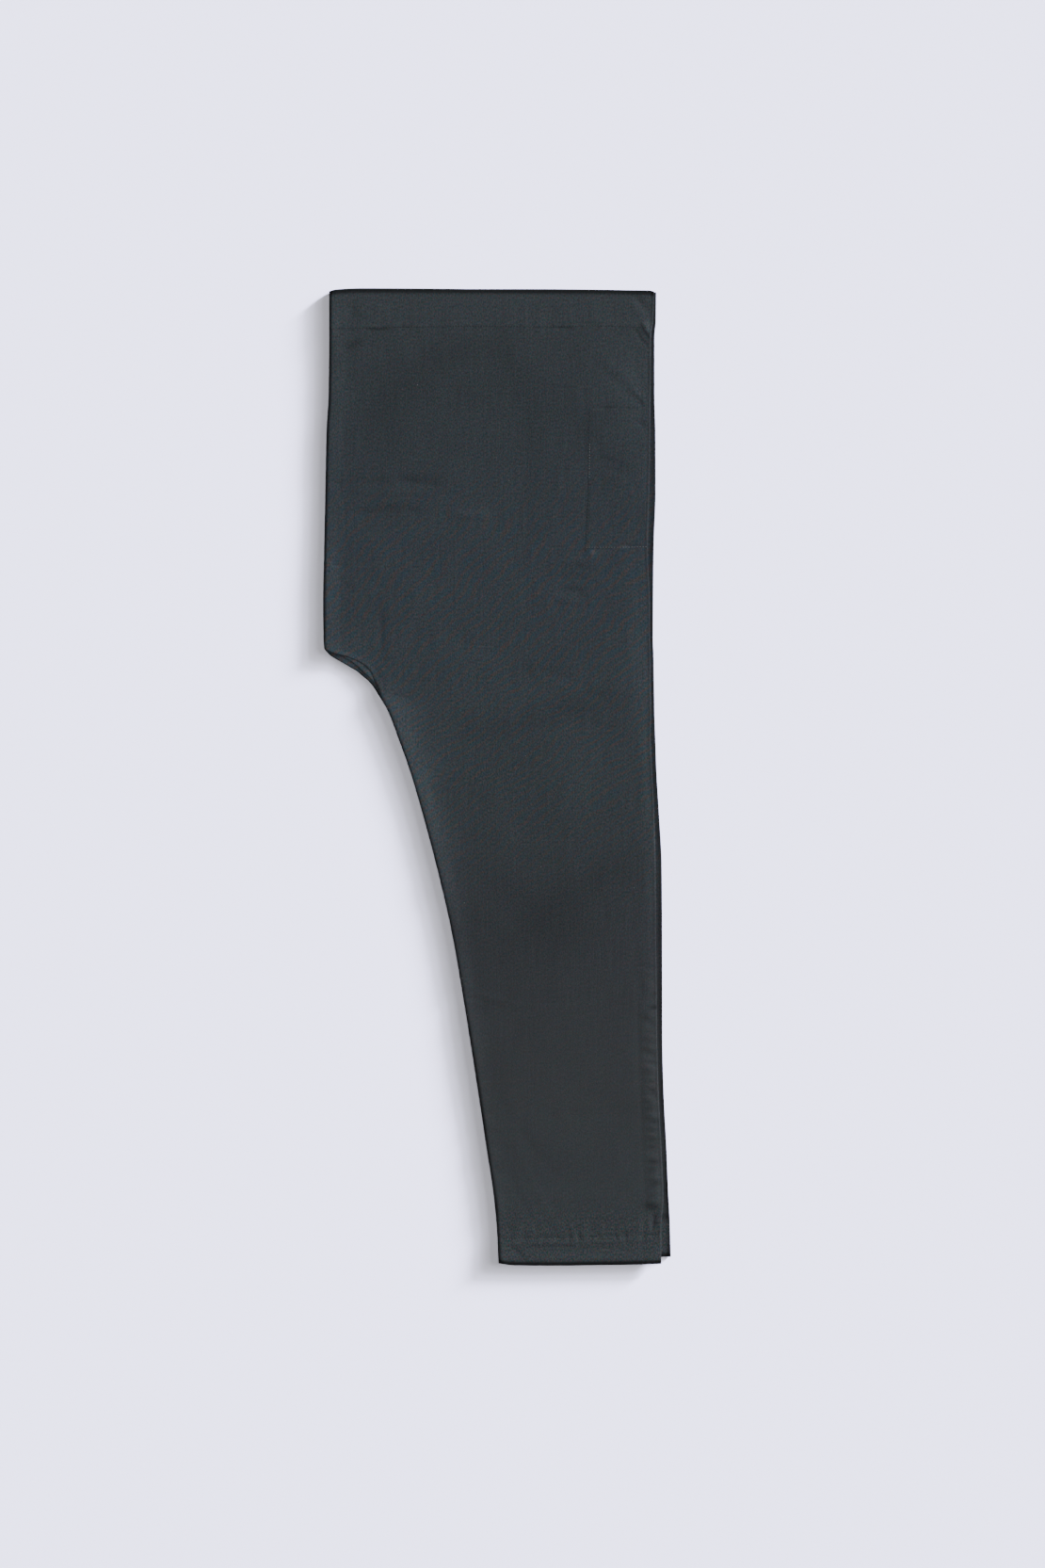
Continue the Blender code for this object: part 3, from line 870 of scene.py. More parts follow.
    def corners(self, rows: int, columns: int) -> tuple[Points, Points]:
        """List the corners of every face.

        Args:
            rows: how many rows the fine face has.
            columns: how many columns the fine face has.

        Returns:
            The corners of all the faces in one run, and where each face starts in it.
        """
        fine = np.arange(rows * columns).reshape(rows, columns)
        coarse_rows, coarse_columns = (rows + 1) // 2, (columns + 1) // 2
        coarse = rows * columns + np.arange(coarse_rows * coarse_columns)
        coarse = coarse.reshape(coarse_rows, coarse_columns)
        cells, other_cells = (
            np.stack((grid[:-1, :-1], grid[1:, :-1], grid[1:, 1:], grid[:-1, 1:]),
                     axis=-1).reshape(-1, 4) for grid in (fine, coarse))
        rings = [np.concatenate((grid[0], grid[1:, -1], grid[-1, -2::-1], grid[-2:0:-1, 0]))
                 for grid in (fine, coarse)]
        ring, coarse_ring = rings
        rim = np.stack((ring[::2], ring[1::2], np.roll(ring, -2)[::2],
                        np.roll(coarse_ring, -1), coarse_ring), axis=-1)
        other_cells = other_cells[:, ::-1]
        if not self.faces_up:
            cells, other_cells, rim = cells[:, ::-1], other_cells[:, ::-1], rim[:, ::-1]
        quads = np.concatenate((cells, other_cells))
        starts = np.concatenate((np.arange(len(quads)) * 4,
                                 quads.size + np.arange(len(rim)) * 5))
        return np.concatenate((quads.ravel(), rim.ravel())), starts

    @staticmethod
    def cloth_map(outer: Points) -> Points:
        """Lay the fine face out flat, in metres along and across the cloth."""
        across = np.zeros(outer.shape[:2])
        across[:, 1:] = np.cumsum(np.linalg.norm(np.diff(outer, axis=1), axis=2), axis=1)
        middle = outer.shape[1] // 2
        across += (outer[:, middle, 0] - across[:, middle])[:, None]
        return np.dstack((across, outer[:, :, 1]))


class NearFront(ClothSheet):
    """The wearer's left front, the sheet on top."""

    def base(self, x: Points, drop: Points) -> Points:
        """Height of the fine face without its relief."""
        return self.cut.stack_top(x, drop)


class NearBack(ClothSheet):
    """The wearer's left back, whose fine face is its lower one."""

    loose_height = 4.4 * MM

    def base(self, x: Points, drop: Points) -> Points:
        """Height of the fine face without its relief."""
        cut = self.cut
        away = cut.seam_away(drop, cut.hem_depth)
        inside = smooth(cut.inside(x, drop) / cut.edge_ramp)
        loose = blend(cut.edge_top - cut.pair_height, self.loose_height, inside)
        tight = cut.band_top - cut.band_pair_height
        return np.where(away <= 0.0, tight, blend(tight, loose, smooth(away / cut.seam_ramp)))


class FarBack(ClothSheet):
    """The wearer's right back, which lies against the left back."""

    def base(self, x: Points, drop: Points) -> Points:
        """Height of the fine face without its relief."""
        cut = self.cut
        away = cut.seam_away(drop, cut.far_hem_depth)
        ramp = smooth(away / cut.seam_ramp)
        return np.where(away <= 0.0, cut.band_pair_height,
                        blend(cut.band_pair_height, cut.pair_height, ramp))


class FarFront(ClothSheet):
    """The wearer's right front, which lies on the floor."""

    floor_gap = 0.1 * MM
    lowest = -0.08 * MM
    highest = 0.8 * MM

    def base(self, x: Points, drop: Points) -> Points:
        """Height of the fine face without its relief."""
        return np.full(x.shape, self.floor_gap)

    def outer(self, x: Points, drop: Points) -> Points:
        """Height of the fine face, whose creases rise off the floor."""
        lift = self.relief.height(x, drop) * self.level(drop)
        return self.base(x, drop) + np.clip(lift, self.lowest, self.highest)


@dataclass
class NodeTree:
    """Short ways to add nodes to one material."""

    material: bpy.types.Material

    @classmethod
    def matt(cls, name: str, roughness: float, specular: float) -> NodeTree:
        """Start a matt material."""
        material = bpy.data.materials.new(name)
        material.use_nodes = True
        kit = cls(material)
        kit.shader.inputs["Roughness"].default_value = roughness
        kit.shader.inputs["Specular IOR Level"].default_value = specular
        return kit

    @property
    def tree(self) -> bpy.types.NodeTree:
        """The material's nodes."""
        return self.material.node_tree

    @property
    def shader(self) -> bpy.types.Node:
        """The material's own shader."""
        return self.tree.nodes["Principled BSDF"]

    def add(self, kind: str, **settings: object) -> bpy.types.Node:
        """Add one node with its settings."""
        node = self.tree.nodes.new(kind)
        for name, value in settings.items():
            setattr(node, name, value)
        return node

    def plug(self, value: Socket | float | Sequence[float], socket: Socket) -> None:
        """Link a socket to another one, or give it a plain value."""
        if isinstance(value, bpy.types.NodeSocket):
            self.tree.links.new(value, socket)
        else:
            socket.default_value = value

    def sum(self, operation: str, *values: Socket | float) -> Socket:
        """Add one sum.

        Args:
            operation: what the sum does.
            values: sockets or plain numbers, in order.

        Returns:
            The sum's result.
        """
        node = self.add("ShaderNodeMath", operation=operation)
        for socket, value in zip(node.inputs, values):
            self.plug(value, socket)
        return node.outputs["Value"]

    def vector(self, operation: str, *values: Socket | Sequence[float]) -> Socket:
        """Add one sum of vectors, such as colours.

        Args:
            operation: what the sum does.
            values: sockets or plain vectors, in order.

        Returns:
            The sum's result.
        """
        node = self.add("ShaderNodeVectorMath", operation=operation)
        sockets = [node.inputs["Vector"], node.inputs[1], node.inputs[2]]
        if operation == "SCALE":
            sockets = [node.inputs["Vector"], node.inputs["Scale"]]
        for socket, value in zip(sockets, values):
            self.plug(value, socket)
        return node.outputs["Vector"]

    def noise(self, place: Socket, scale: tuple[float, float, float], detail: float,
              output: str = "Fac", turn: float = 0.0) -> Socket:
        """Add noise that may be stretched one way.

        Args:
            place: where on the piece the noise is read.
            scale: how fine it is along each direction, per metre.
            detail: how many finer steps it has.
            output: which of the noise's outputs to give.
            turn: how far the directions are turned, in radians.

        Returns:
            The noise, from 0 to 1.
        """
        mapping = self.add("ShaderNodeMapping", vector_type="TEXTURE" if turn else "POINT")
        mapping.inputs["Rotation"].default_value = (0.0, 0.0, turn)
        mapping.inputs["Scale"].default_value = (
            tuple(1.0 / part for part in scale) if turn else scale)
        self.plug(place, mapping.inputs["Vector"])
        noise = self.add("ShaderNodeTexNoise")
        noise.inputs["Scale"].default_value = 1.0
        noise.inputs["Detail"].default_value = detail
        self.plug(mapping.outputs["Vector"], noise.inputs["Vector"])
        return noise.outputs[output]

    def bump(self, height: Socket, strength: float, distance: float,
             under: Socket | None = None) -> Socket:
        """Add a bump on top of another one.

        Args:
            height: the bump's height, from 0 to 1.
            strength: how much of it shows.
            distance: how high 1 is.
            under: the bump that this one lies on.

        Returns:
            The bumpy normal.
        """
        node = self.add("ShaderNodeBump")
        node.inputs["Strength"].default_value = strength
        node.inputs["Distance"].default_value = distance
        self.plug(height, node.inputs["Height"])
        if under is not None:
            self.plug(under, node.inputs["Normal"])
        return node.outputs["Normal"]


class Step(NamedTuple):
    """A soft step from low to high between a first and a last value."""

    first: float
    last: float
    low: float
    high: float


class Tone(NamedTuple):
    """The cloth's colour at a height up the garment, as a share of its length, with painted shade
    and light in it.
    """

    share: float
    colour: Colour


@dataclass(frozen=True)
class WovenCotton:
    """Matt plain-woven cotton with a fine melange of teal, blue and brown threads."""

    # The tones are partly the cloth's own colour and partly painted shade and light: darker below
    # the casing and at the knee, paler at the casing and the hem.
    tones_with_painted_shade: tuple[Tone, ...] = (
        Tone(0.0, (0.0415, 0.0485, 0.0550)),
        Tone(0.18, (0.0400, 0.0445, 0.0495)),
        Tone(0.34, (0.0363, 0.0407, 0.0474)),
        Tone(0.48, (0.0390, 0.0465, 0.0535)),
        Tone(0.72, (0.0390, 0.0470, 0.0570)),
        Tone(0.88, (0.0355, 0.0430, 0.0505)),
        Tone(1.0, (0.0400, 0.0475, 0.0545)),
    )
    garment_length: float = 1.021
    doubled_band_painted_light: float = 0.06
    roughness: float = 0.92
    thread: float = 0.5 * MM
    speckle: float = 1.27
    slub: float = 0.40
    cloud: float = 0.14
    streak: float = 0.48
    streak_pitch: float = 78.0
    streak_bend: float = 65.5
    streak_wander: float = 4.0
    streaks_from: float = 0.7625
    fleck: Colour = (0.13, 0.14, 0.145)
    fleck_grain: Grain = (62.0, 50.0, 1.0)
    fleck_size: float = 0.028
    fleck_chance: float = 0.8
    specular: float = 0.2
    sheen: float = 0.06
    sheen_roughness: float = 0.6
    speck_grain: Grain = (740.0, 480.0, 1.0)
    speck_tint: Colour = (1.25, 0.25, 0.38)
    thread_grain: Grain = (720.0, 420.0, 1.0)
    specks_on_leg: Step = Step(-0.30, -0.02, 0.46, 1.0)
    specks_on_hem: Step = Step(-0.43, -0.475, 0.0, 0.95)
    patch_grain: Grain = (60.0, 240.0, 1.0)
    patch_turn: float = 0.5
    patch_gain: Colour = (0.30, 0.12, 0.18)
    patch_low: Colour = (0.85, 0.94, 0.91)
    wander_grain: Grain = (14.0, 17.0, 1.0)
    streak_edge: Step = Step(-0.3, 0.9, 0.0, 1.0)
    streaks_below: Step = Step(0.38, 0.22, 0.0, 1.0)
    streaks_above: Step = Step(-0.24, 0.04, 0.0, 1.0)
    break_grain: Grain = (55.0, 60.0, 1.0)
    break_edge: Step = Step(0.3, 0.62, 0.15, 1.0)
    streak_mean: float = 0.42
    streak_tint: Colour = (1.0, -0.05, -0.45)
    warp_grain: Grain = (560.0, 24.0, 1.0)
    warp_on_shin: Step = Step(-0.36, -0.12, 0.45, 1.0)
    weft_grain: Grain = (30.0, 1300.0, 1.0)
    weft_share: float = 0.3
    cloud_grain: Grain = (16.0, 13.0, 1.0)
    nap_grain: Grain = (900.0, 700.0, 1.0)
    slub_grain: Grain = (800.0, 50.0, 1.0)

    def material(self, name: str) -> bpy.types.Material:
        """Make the cloth's material.

        Args:
            name: the material's name.

        Returns:
            The material, which reads the cloth's own UV map and attribute.
        """
        kit = NodeTree.matt(name, self.roughness, self.specular)
        kit.shader.inputs["Sheen Weight"].default_value = self.sheen
        kit.shader.inputs["Sheen Roughness"].default_value = self.sheen_roughness
        place = kit.add("ShaderNodeUVMap", uv_map="cloth").outputs["UV"]
        split = kit.add("ShaderNodeSeparateXYZ")
        kit.plug(place, split.inputs["Vector"])
        colour = self.tone(kit, split.outputs["Y"])
        colour = kit.vector("MULTIPLY", colour, self.melange(kit, place, split.outputs["Y"]))
        colour = kit.vector("MULTIPLY", colour, self.streaks(kit, place, split))
        bright = self.slubs(kit, place, split.outputs["Y"])
        marks = kit.add("ShaderNodeAttribute", attribute_name="double_cloth").outputs["Fac"]
        # The casing and the hem are painted a little paler, painted light where the raised bands
        # catch more light.
        gain = kit.sum("MULTIPLY_ADD", marks, self.doubled_band_painted_light, 1.0)
        # Painted light and shade, read from the sheet's attribute and added to the cloth's
        # brightness.
        painted_light_and_shade = kit.add("ShaderNodeAttribute", attribute_name="painted_shading").outputs["Fac"]
        gain = kit.sum("ADD", gain, painted_light_and_shade)
        colour = kit.vector("SCALE", colour, kit.sum("MULTIPLY", bright, gain))
        kit.plug(self.flecked(kit, place, colour), kit.shader.inputs["Base Color"])
        kit.plug(self.surface(kit, place, split), kit.shader.inputs["Normal"])
        return kit.material

    def tone(self, kit: NodeTree, along: Socket) -> Socket:
        """The cloth's colour, with painted shade down the garment: darker below the casing and at
        the knee, paler at the casing and the hem.
        """
        share = kit.sum("MULTIPLY_ADD", along, 1.0 / self.garment_length, 0.5)
        ramp = kit.add("ShaderNodeValToRGB")
        elements = ramp.color_ramp.elements
        while len(elements) < len(self.tones_with_painted_shade):
            elements.new(0.5)
        for element, tone in zip(elements, self.tones_with_painted_shade):
            element.position = tone.share
            element.color = (*tone.colour, 1.0)
        kit.plug(share, ramp.inputs["Fac"])
        return ramp.outputs["Color"]

    def melange(self, kit: NodeTree, place: Socket, along: Socket) -> Socket:
        """Fine specks of many colours, stronger above the knee.

        Args:
            kit: the material's nodes.
            place: the cloth's UV map.
            along: the height up the garment.

        Returns:
            A colour near white to multiply the cloth's colour with.
        """
        specks = kit.noise(place, self.speck_grain, 0.0, "Color")
        specks = kit.vector("SUBTRACT", specks, (0.5, 0.5, 0.5))
        specks = kit.vector("MULTIPLY", specks, tuple(
            self.speckle * share for share in self.speck_tint))
        threads = kit.noise(place, self.thread_grain, 1.0)
        threads = kit.sum("MULTIPLY", kit.sum("SUBTRACT", threads, 0.5), self.speckle)
        specks = kit.vector("ADD", specks, threads)
        gain = kit.sum("ADD", self.ease(kit, along, self.specks_on_leg),
                       self.ease(kit, along, self.specks_on_hem))
        specks = kit.vector("SCALE", specks, gain)
        specks = kit.vector("ADD", specks, (1.0, 1.0, 1.0))
        patches = kit.noise(place, self.patch_grain, 1.0, "Color", self.patch_turn)
        patches = kit.vector("MULTIPLY_ADD", patches, self.patch_gain, self.patch_low)
        return kit.vector("MULTIPLY", specks, patches)

    def streaks(self, kit: NodeTree, place: Socket, split: bpy.types.Node) -> Socket:
        """Faint warm lines that wander over the thigh, where the threads beat together.

        Args:
            kit: the material's nodes.
            place: the cloth's UV map.
            split: the UV map's own two directions.

        Returns:
            A colour near white to multiply the cloth's colour with.
        """
        across, along = split.outputs["X"], split.outputs["Y"]
        down = kit.sum("SUBTRACT", self.streaks_from, along)
        turns = kit.sum("MULTIPLY", kit.sum("MULTIPLY", down, down), self.streak_bend)
        turns = kit.sum("MULTIPLY_ADD", across, self.streak_pitch, turns)
        wander = kit.noise(place, self.wander_grain, 2.0)
        turns = kit.sum("MULTIPLY_ADD", wander, self.streak_wander, turns)
        wave = kit.sum("SINE", kit.sum("MULTIPLY", turns, 2.0 * math.pi))
        line = self.ease(kit, wave, self.streak_edge)
        shown = kit.sum("MULTIPLY", self.ease(kit, along, self.streaks_below),
                        self.ease(kit, along, self.streaks_above))
        broken = self.ease(kit, kit.noise(place, self.break_grain, 1.0), self.break_edge)
        strength = kit.sum("MULTIPLY", kit.sum("MULTIPLY", shown, broken), self.streak)
        line = kit.sum("MULTIPLY", kit.sum("SUBTRACT", line, self.streak_mean), strength)
        tint = kit.add("ShaderNodeCombineXYZ")
        for socket, share in zip(tint.inputs, self.streak_tint):
            kit.plug(kit.sum("MULTIPLY_ADD", line, share, 1.0), socket)
        return tint.outputs["Vector"]

    @staticmethod
    def ease(kit: NodeTree, value: Socket, step: Step) -> Socket:
        """Turn a value into a soft step."""
        node = kit.add("ShaderNodeMapRange", interpolation_type="SMOOTHSTEP")
        for socket, number in zip(node.inputs[1:5], step):
            socket.default_value = number
        kit.plug(value, node.inputs[0])
        return node.outputs[0]

    def slubs(self, kit: NodeTree, place: Socket, along: Socket) -> Socket:
        """Uneven threads, calmer on the shin, and slow clouds, as a brightness near 1."""
        warp = kit.noise(place, self.warp_grain, 1.0)
        warp = kit.sum("MULTIPLY_ADD", kit.sum("SUBTRACT", warp, 0.5),
                       self.ease(kit, along, self.warp_on_shin), 0.5)
        weft = kit.noise(place, self.weft_grain, 1.0)
        clouds = kit.noise(place, self.cloud_grain, 3.0)
        bright = kit.sum("MULTIPLY_ADD", warp, self.slub, 1.0 - self.slub / 2)
        weft_slub = self.slub * self.weft_share
        bright = kit.sum("MULTIPLY", bright,
                         kit.sum("MULTIPLY_ADD", weft, weft_slub, 1.0 - weft_slub / 2))
        return kit.sum("MULTIPLY", bright,
                       kit.sum("MULTIPLY_ADD", clouds, self.cloud, 1.0 - self.cloud / 2))

    def flecked(self, kit: NodeTree, place: Socket, colour: Socket) -> Socket:
        """Scatter a few pale specks of lint over a colour."""
        mapping = kit.add("ShaderNodeMapping")
        mapping.inputs["Scale"].default_value = self.fleck_grain
        kit.plug(place, mapping.inputs["Vector"])
        cells = kit.add("ShaderNodeTexVoronoi", feature="F1")
        cells.inputs["Scale"].default_value = 1.0
        kit.plug(mapping.outputs["Vector"], cells.inputs["Vector"])
        chance = kit.add("ShaderNodeSeparateColor")
        kit.plug(cells.outputs["Color"], chance.inputs["Color"])
        close = kit.sum("LESS_THAN", cells.outputs["Distance"], self.fleck_size)
        picked = kit.sum("GREATER_THAN", chance.outputs["Red"], self.fleck_chance)
        is_fleck = kit.sum("MULTIPLY", close, picked)
        mix = kit.add("ShaderNodeMix", data_type="RGBA")
        kit.plug(is_fleck, mix.inputs["Factor"])
        kit.plug(colour, mix.inputs["A"])
        mix.inputs["B"].default_value = (*self.fleck, 1.0)
        return mix.outputs["Result"]

    def surface(self, kit: NodeTree, place: Socket, split: bpy.types.Node) -> Socket:
        """Threads that pass over and under each other, with a soft nap."""
        turns = math.pi / self.thread
        across = kit.sum("SINE", kit.sum("MULTIPLY", split.outputs["X"], turns))
        along = kit.sum("SINE", kit.sum("MULTIPLY", split.outputs["Y"], turns))
        weave = kit.sum("MULTIPLY", across, along)
        nap = kit.noise(place, self.nap_grain, 2.0)
        slub = kit.noise(place, self.slub_grain, 1.0)
        soft = kit.bump(nap, 0.5, 0.12 * MM)
        soft = kit.bump(slub, 0.3, 0.1 * MM, soft)
        return kit.bump(weave, 0.35, 0.08 * MM, soft)


class ThreadTone(Enum):
    """How much a thread stands out from the cloth, as its colour."""

    PALE = (0.165, 0.175, 0.18)
    GREY = (0.090, 0.098, 0.102)
    SLATE = (0.055, 0.063, 0.068)


@dataclass(frozen=True)
class SewingThread:
    """Twisted thread."""

    tone: ThreadTone
    roughness: float = 0.7
    specular: float = 0.3
    mottle_grain: Grain = (900.0, 900.0, 900.0)
    mottle_gain: float = 0.9
    mottle_low: float = 0.55
    twist_grain: Grain = (2500.0, 2500.0, 900.0)
    twist_strength: float = 0.5
    twist_height: float = 0.08 * MM

    def material(self, name: str) -> bpy.types.Material:
        """Make the thread's material.

        Args:
            name: the material's name.

        Returns:
            The material.
        """
        kit = NodeTree.matt(name, self.roughness, self.specular)
        place = kit.add("ShaderNodeTexCoord").outputs["Object"]
        mottle = kit.noise(place, self.mottle_grain, 2.0)
        bright = kit.sum("MULTIPLY_ADD", mottle, self.mottle_gain, self.mottle_low)
        kit.plug(kit.vector("SCALE", self.tone.value, bright), kit.shader.inputs["Base Color"])
        twist = kit.noise(place, self.twist_grain, 1.0)
        kit.plug(kit.bump(twist, self.twist_strength, self.twist_height),
                 kit.shader.inputs["Normal"])
        return kit.material


@dataclass
class Stitch:
    """One stitch of thread that stands a little proud of the cloth, along X."""

    length: float = 1.5 * MM
    width: float = 0.5 * MM
    rise: float = 0.16 * MM
    sides: int = 6
    core_share: float = 0.6
    end_steps: tuple[tuple[float, float], ...] = ((0.12, 0.8), (0.08, 0.45))
    dip: float = 0.4

    def model(self) -> tuple[Points, list[tuple[int, ...]]]:
        """Model the stitch.

        Returns:
            Its points and the corners of its faces.
        """
        bpy.ops.object.select_all(action="DESELECT")
        bpy.ops.mesh.primitive_cylinder_add(vertices=self.sides, radius=self.width / 2,
                                            depth=self.length * self.core_share,
                                            rotation=(0.0, math.pi / 2, 0.0))
        stitch = bpy.context.active_object
        bpy.ops.object.transform_apply(location=True, rotation=True, scale=True)
        for end in (-1.0, 1.0):
            for reach, shrink in self.end_steps:
                self.select_end(stitch, end)
                bpy.ops.object.mode_set(mode="EDIT")
                bpy.ops.mesh.extrude_region_move(TRANSFORM_OT_translate={
                    "value": (end * self.length * reach, 0.0, -self.rise * shrink * self.dip)})
                bpy.ops.transform.resize(value=(1.0, shrink, shrink))
                bpy.ops.object.mode_set(mode="OBJECT")
        bpy.ops.object.mode_set(mode="EDIT")
        bpy.ops.mesh.select_all(action="SELECT")
        bpy.ops.mesh.bisect(plane_co=(0.0, 0.0, 0.0), plane_no=(1.0, 0.0, 0.0))
        bpy.ops.transform.translate(value=(0.0, 0.0, self.rise))
        bpy.ops.object.mode_set(mode="OBJECT")
        points = np.array([vertex.co[:] for vertex in stitch.data.vertices])
        # Edit mode leaves the faces in another order in each run, so they are sorted.
        faces = sorted(tuple(polygon.vertices) for polygon in stitch.data.polygons)
        mesh = stitch.data
        bpy.data.objects.remove(stitch)
        bpy.data.meshes.remove(mesh)
        return points, faces

    @staticmethod
    def select_end(stitch: bpy.types.Object, end: float) -> None:
        """Select the face at one end of the stitch."""
        mesh = stitch.data
        for element in (*mesh.vertices, *mesh.edges, *mesh.polygons):
            element.select = False
        furthest = max(mesh.polygons, key=lambda face: face.center[0] * end)
        furthest.select = True


class StitchLine(NamedTuple):
    """A row of stitches along (x, drop) points."""

    name: str
    slot: str
    points: tuple[tuple[float, float], ...]
    tone: ThreadTone = ThreadTone.SLATE
    size: float = 1.0


@dataclass
class Sewing:
    """Rows of stitches on one sheet of cloth."""

    sheet: ClothSheet
    lines: Sequence[StitchLine]
    pitch: float = 2.9 * MM
    seed: int = 11
    spread: float = 0.06
    half_way: float = 0.3
    stray: float = 0.05 * MM
    long_sizes: tuple[float, float] = (0.9, 1.08)
    wide_sizes: tuple[float, float] = (0.85, 1.1)

    def build(self, stitch: tuple[Points, list[tuple[int, ...]]],
              threads: dict[ThreadTone, bpy.types.Material]) -> list[bpy.types.Object]:
        """Sew every row.

        Args:
            stitch: the modelled stitch's points and faces.
            threads: the threads' materials.

        Returns:
            One piece for each row.
        """
        rows = []
        for number, line in enumerate(self.lines):
            rng = np.random.default_rng(self.seed + number)
            places, ways = self.places(line, rng)
            piece = self.copy_along(line, places, ways, stitch, rng)
            piece.data.materials.append(threads[line.tone])
            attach(piece, "root")
            LOG.info("%s: %d stitches", line.name, len(places))
            rows.append(piece)
        return rows

    def places(self, line: StitchLine, rng: np.random.Generator) -> tuple[Points, Points]:
        """Find where a row's stitches go.

        Args:
            line: the row.
            rng: where its small unevenness comes from.

        Returns:
            Each stitch's middle and its way along.
        """
        route = np.array(line.points, float) * MM
        lengths = np.concatenate(([0.0], np.cumsum(np.hypot(*np.diff(route, axis=0).T))))
        count = max(1, round(lengths[-1] / self.pitch))
        along = (np.arange(count) + 0.5) * lengths[-1] / count
        along = along + rng.normal(0.0, self.spread * self.pitch, count)
        ends = []
        for shift in (-self.half_way, self.half_way):
            spot = np.clip(along + shift * self.pitch, 0.0, lengths[-1])
            x = np.interp(spot, lengths, route[:, 0])
            drop = np.interp(spot, lengths, route[:, 1]) + rng.normal(0.0, self.stray, count)
            y = self.sheet.cut.y_at(drop, x, self.sheet.is_far)
            ends.append(np.stack((x, y, self.sheet.outer(x, drop)), axis=-1))
        return (ends[0] + ends[1]) / 2, ends[1] - ends[0]

    def copy_along(self, line: StitchLine, places: Points, ways: Points,
                   stitch: tuple[Points, list[tuple[int, ...]]],
                   rng: np.random.Generator) -> bpy.types.Object:
        """Copy the stitch to each of its places, as one mesh.

        Args:
            line: the row.
            places: each stitch's middle.
            ways: each stitch's way along.
            stitch: the modelled stitch's points and faces.
            rng: where the row's small unevenness comes from.

        Returns:
            The row's piece.
        """
        shape, corners = stitch
        points: list[Points] = []
        faces: list[tuple[int, ...]] = []
        up = Vector((0.0, 0.0, self.sheet.side))
        for place, way in zip(places, ways):
            along = Vector(way).normalized()
            across = up.cross(along).normalized()
            upward = along.cross(across)
            turn = np.array((along, across, upward)).T
            size = line.size * np.array((rng.uniform(*self.long_sizes),
                                         rng.uniform(*self.wide_sizes), 1.0))
            first = len(points) * len(shape)
            points.append((shape * size) @ turn.T + place)
            faces.extend(tuple(corner + first for corner in face) for face in corners)
        joined = np.concatenate(points)
        joined[:, 2] = np.maximum(joined[:, 2], 0.0)
        mesh = bpy.data.meshes.new(line.name)
        mesh.from_pydata(joined.tolist(), [], faces)
        mesh.shade_smooth()
        return placed(line.name, mesh)


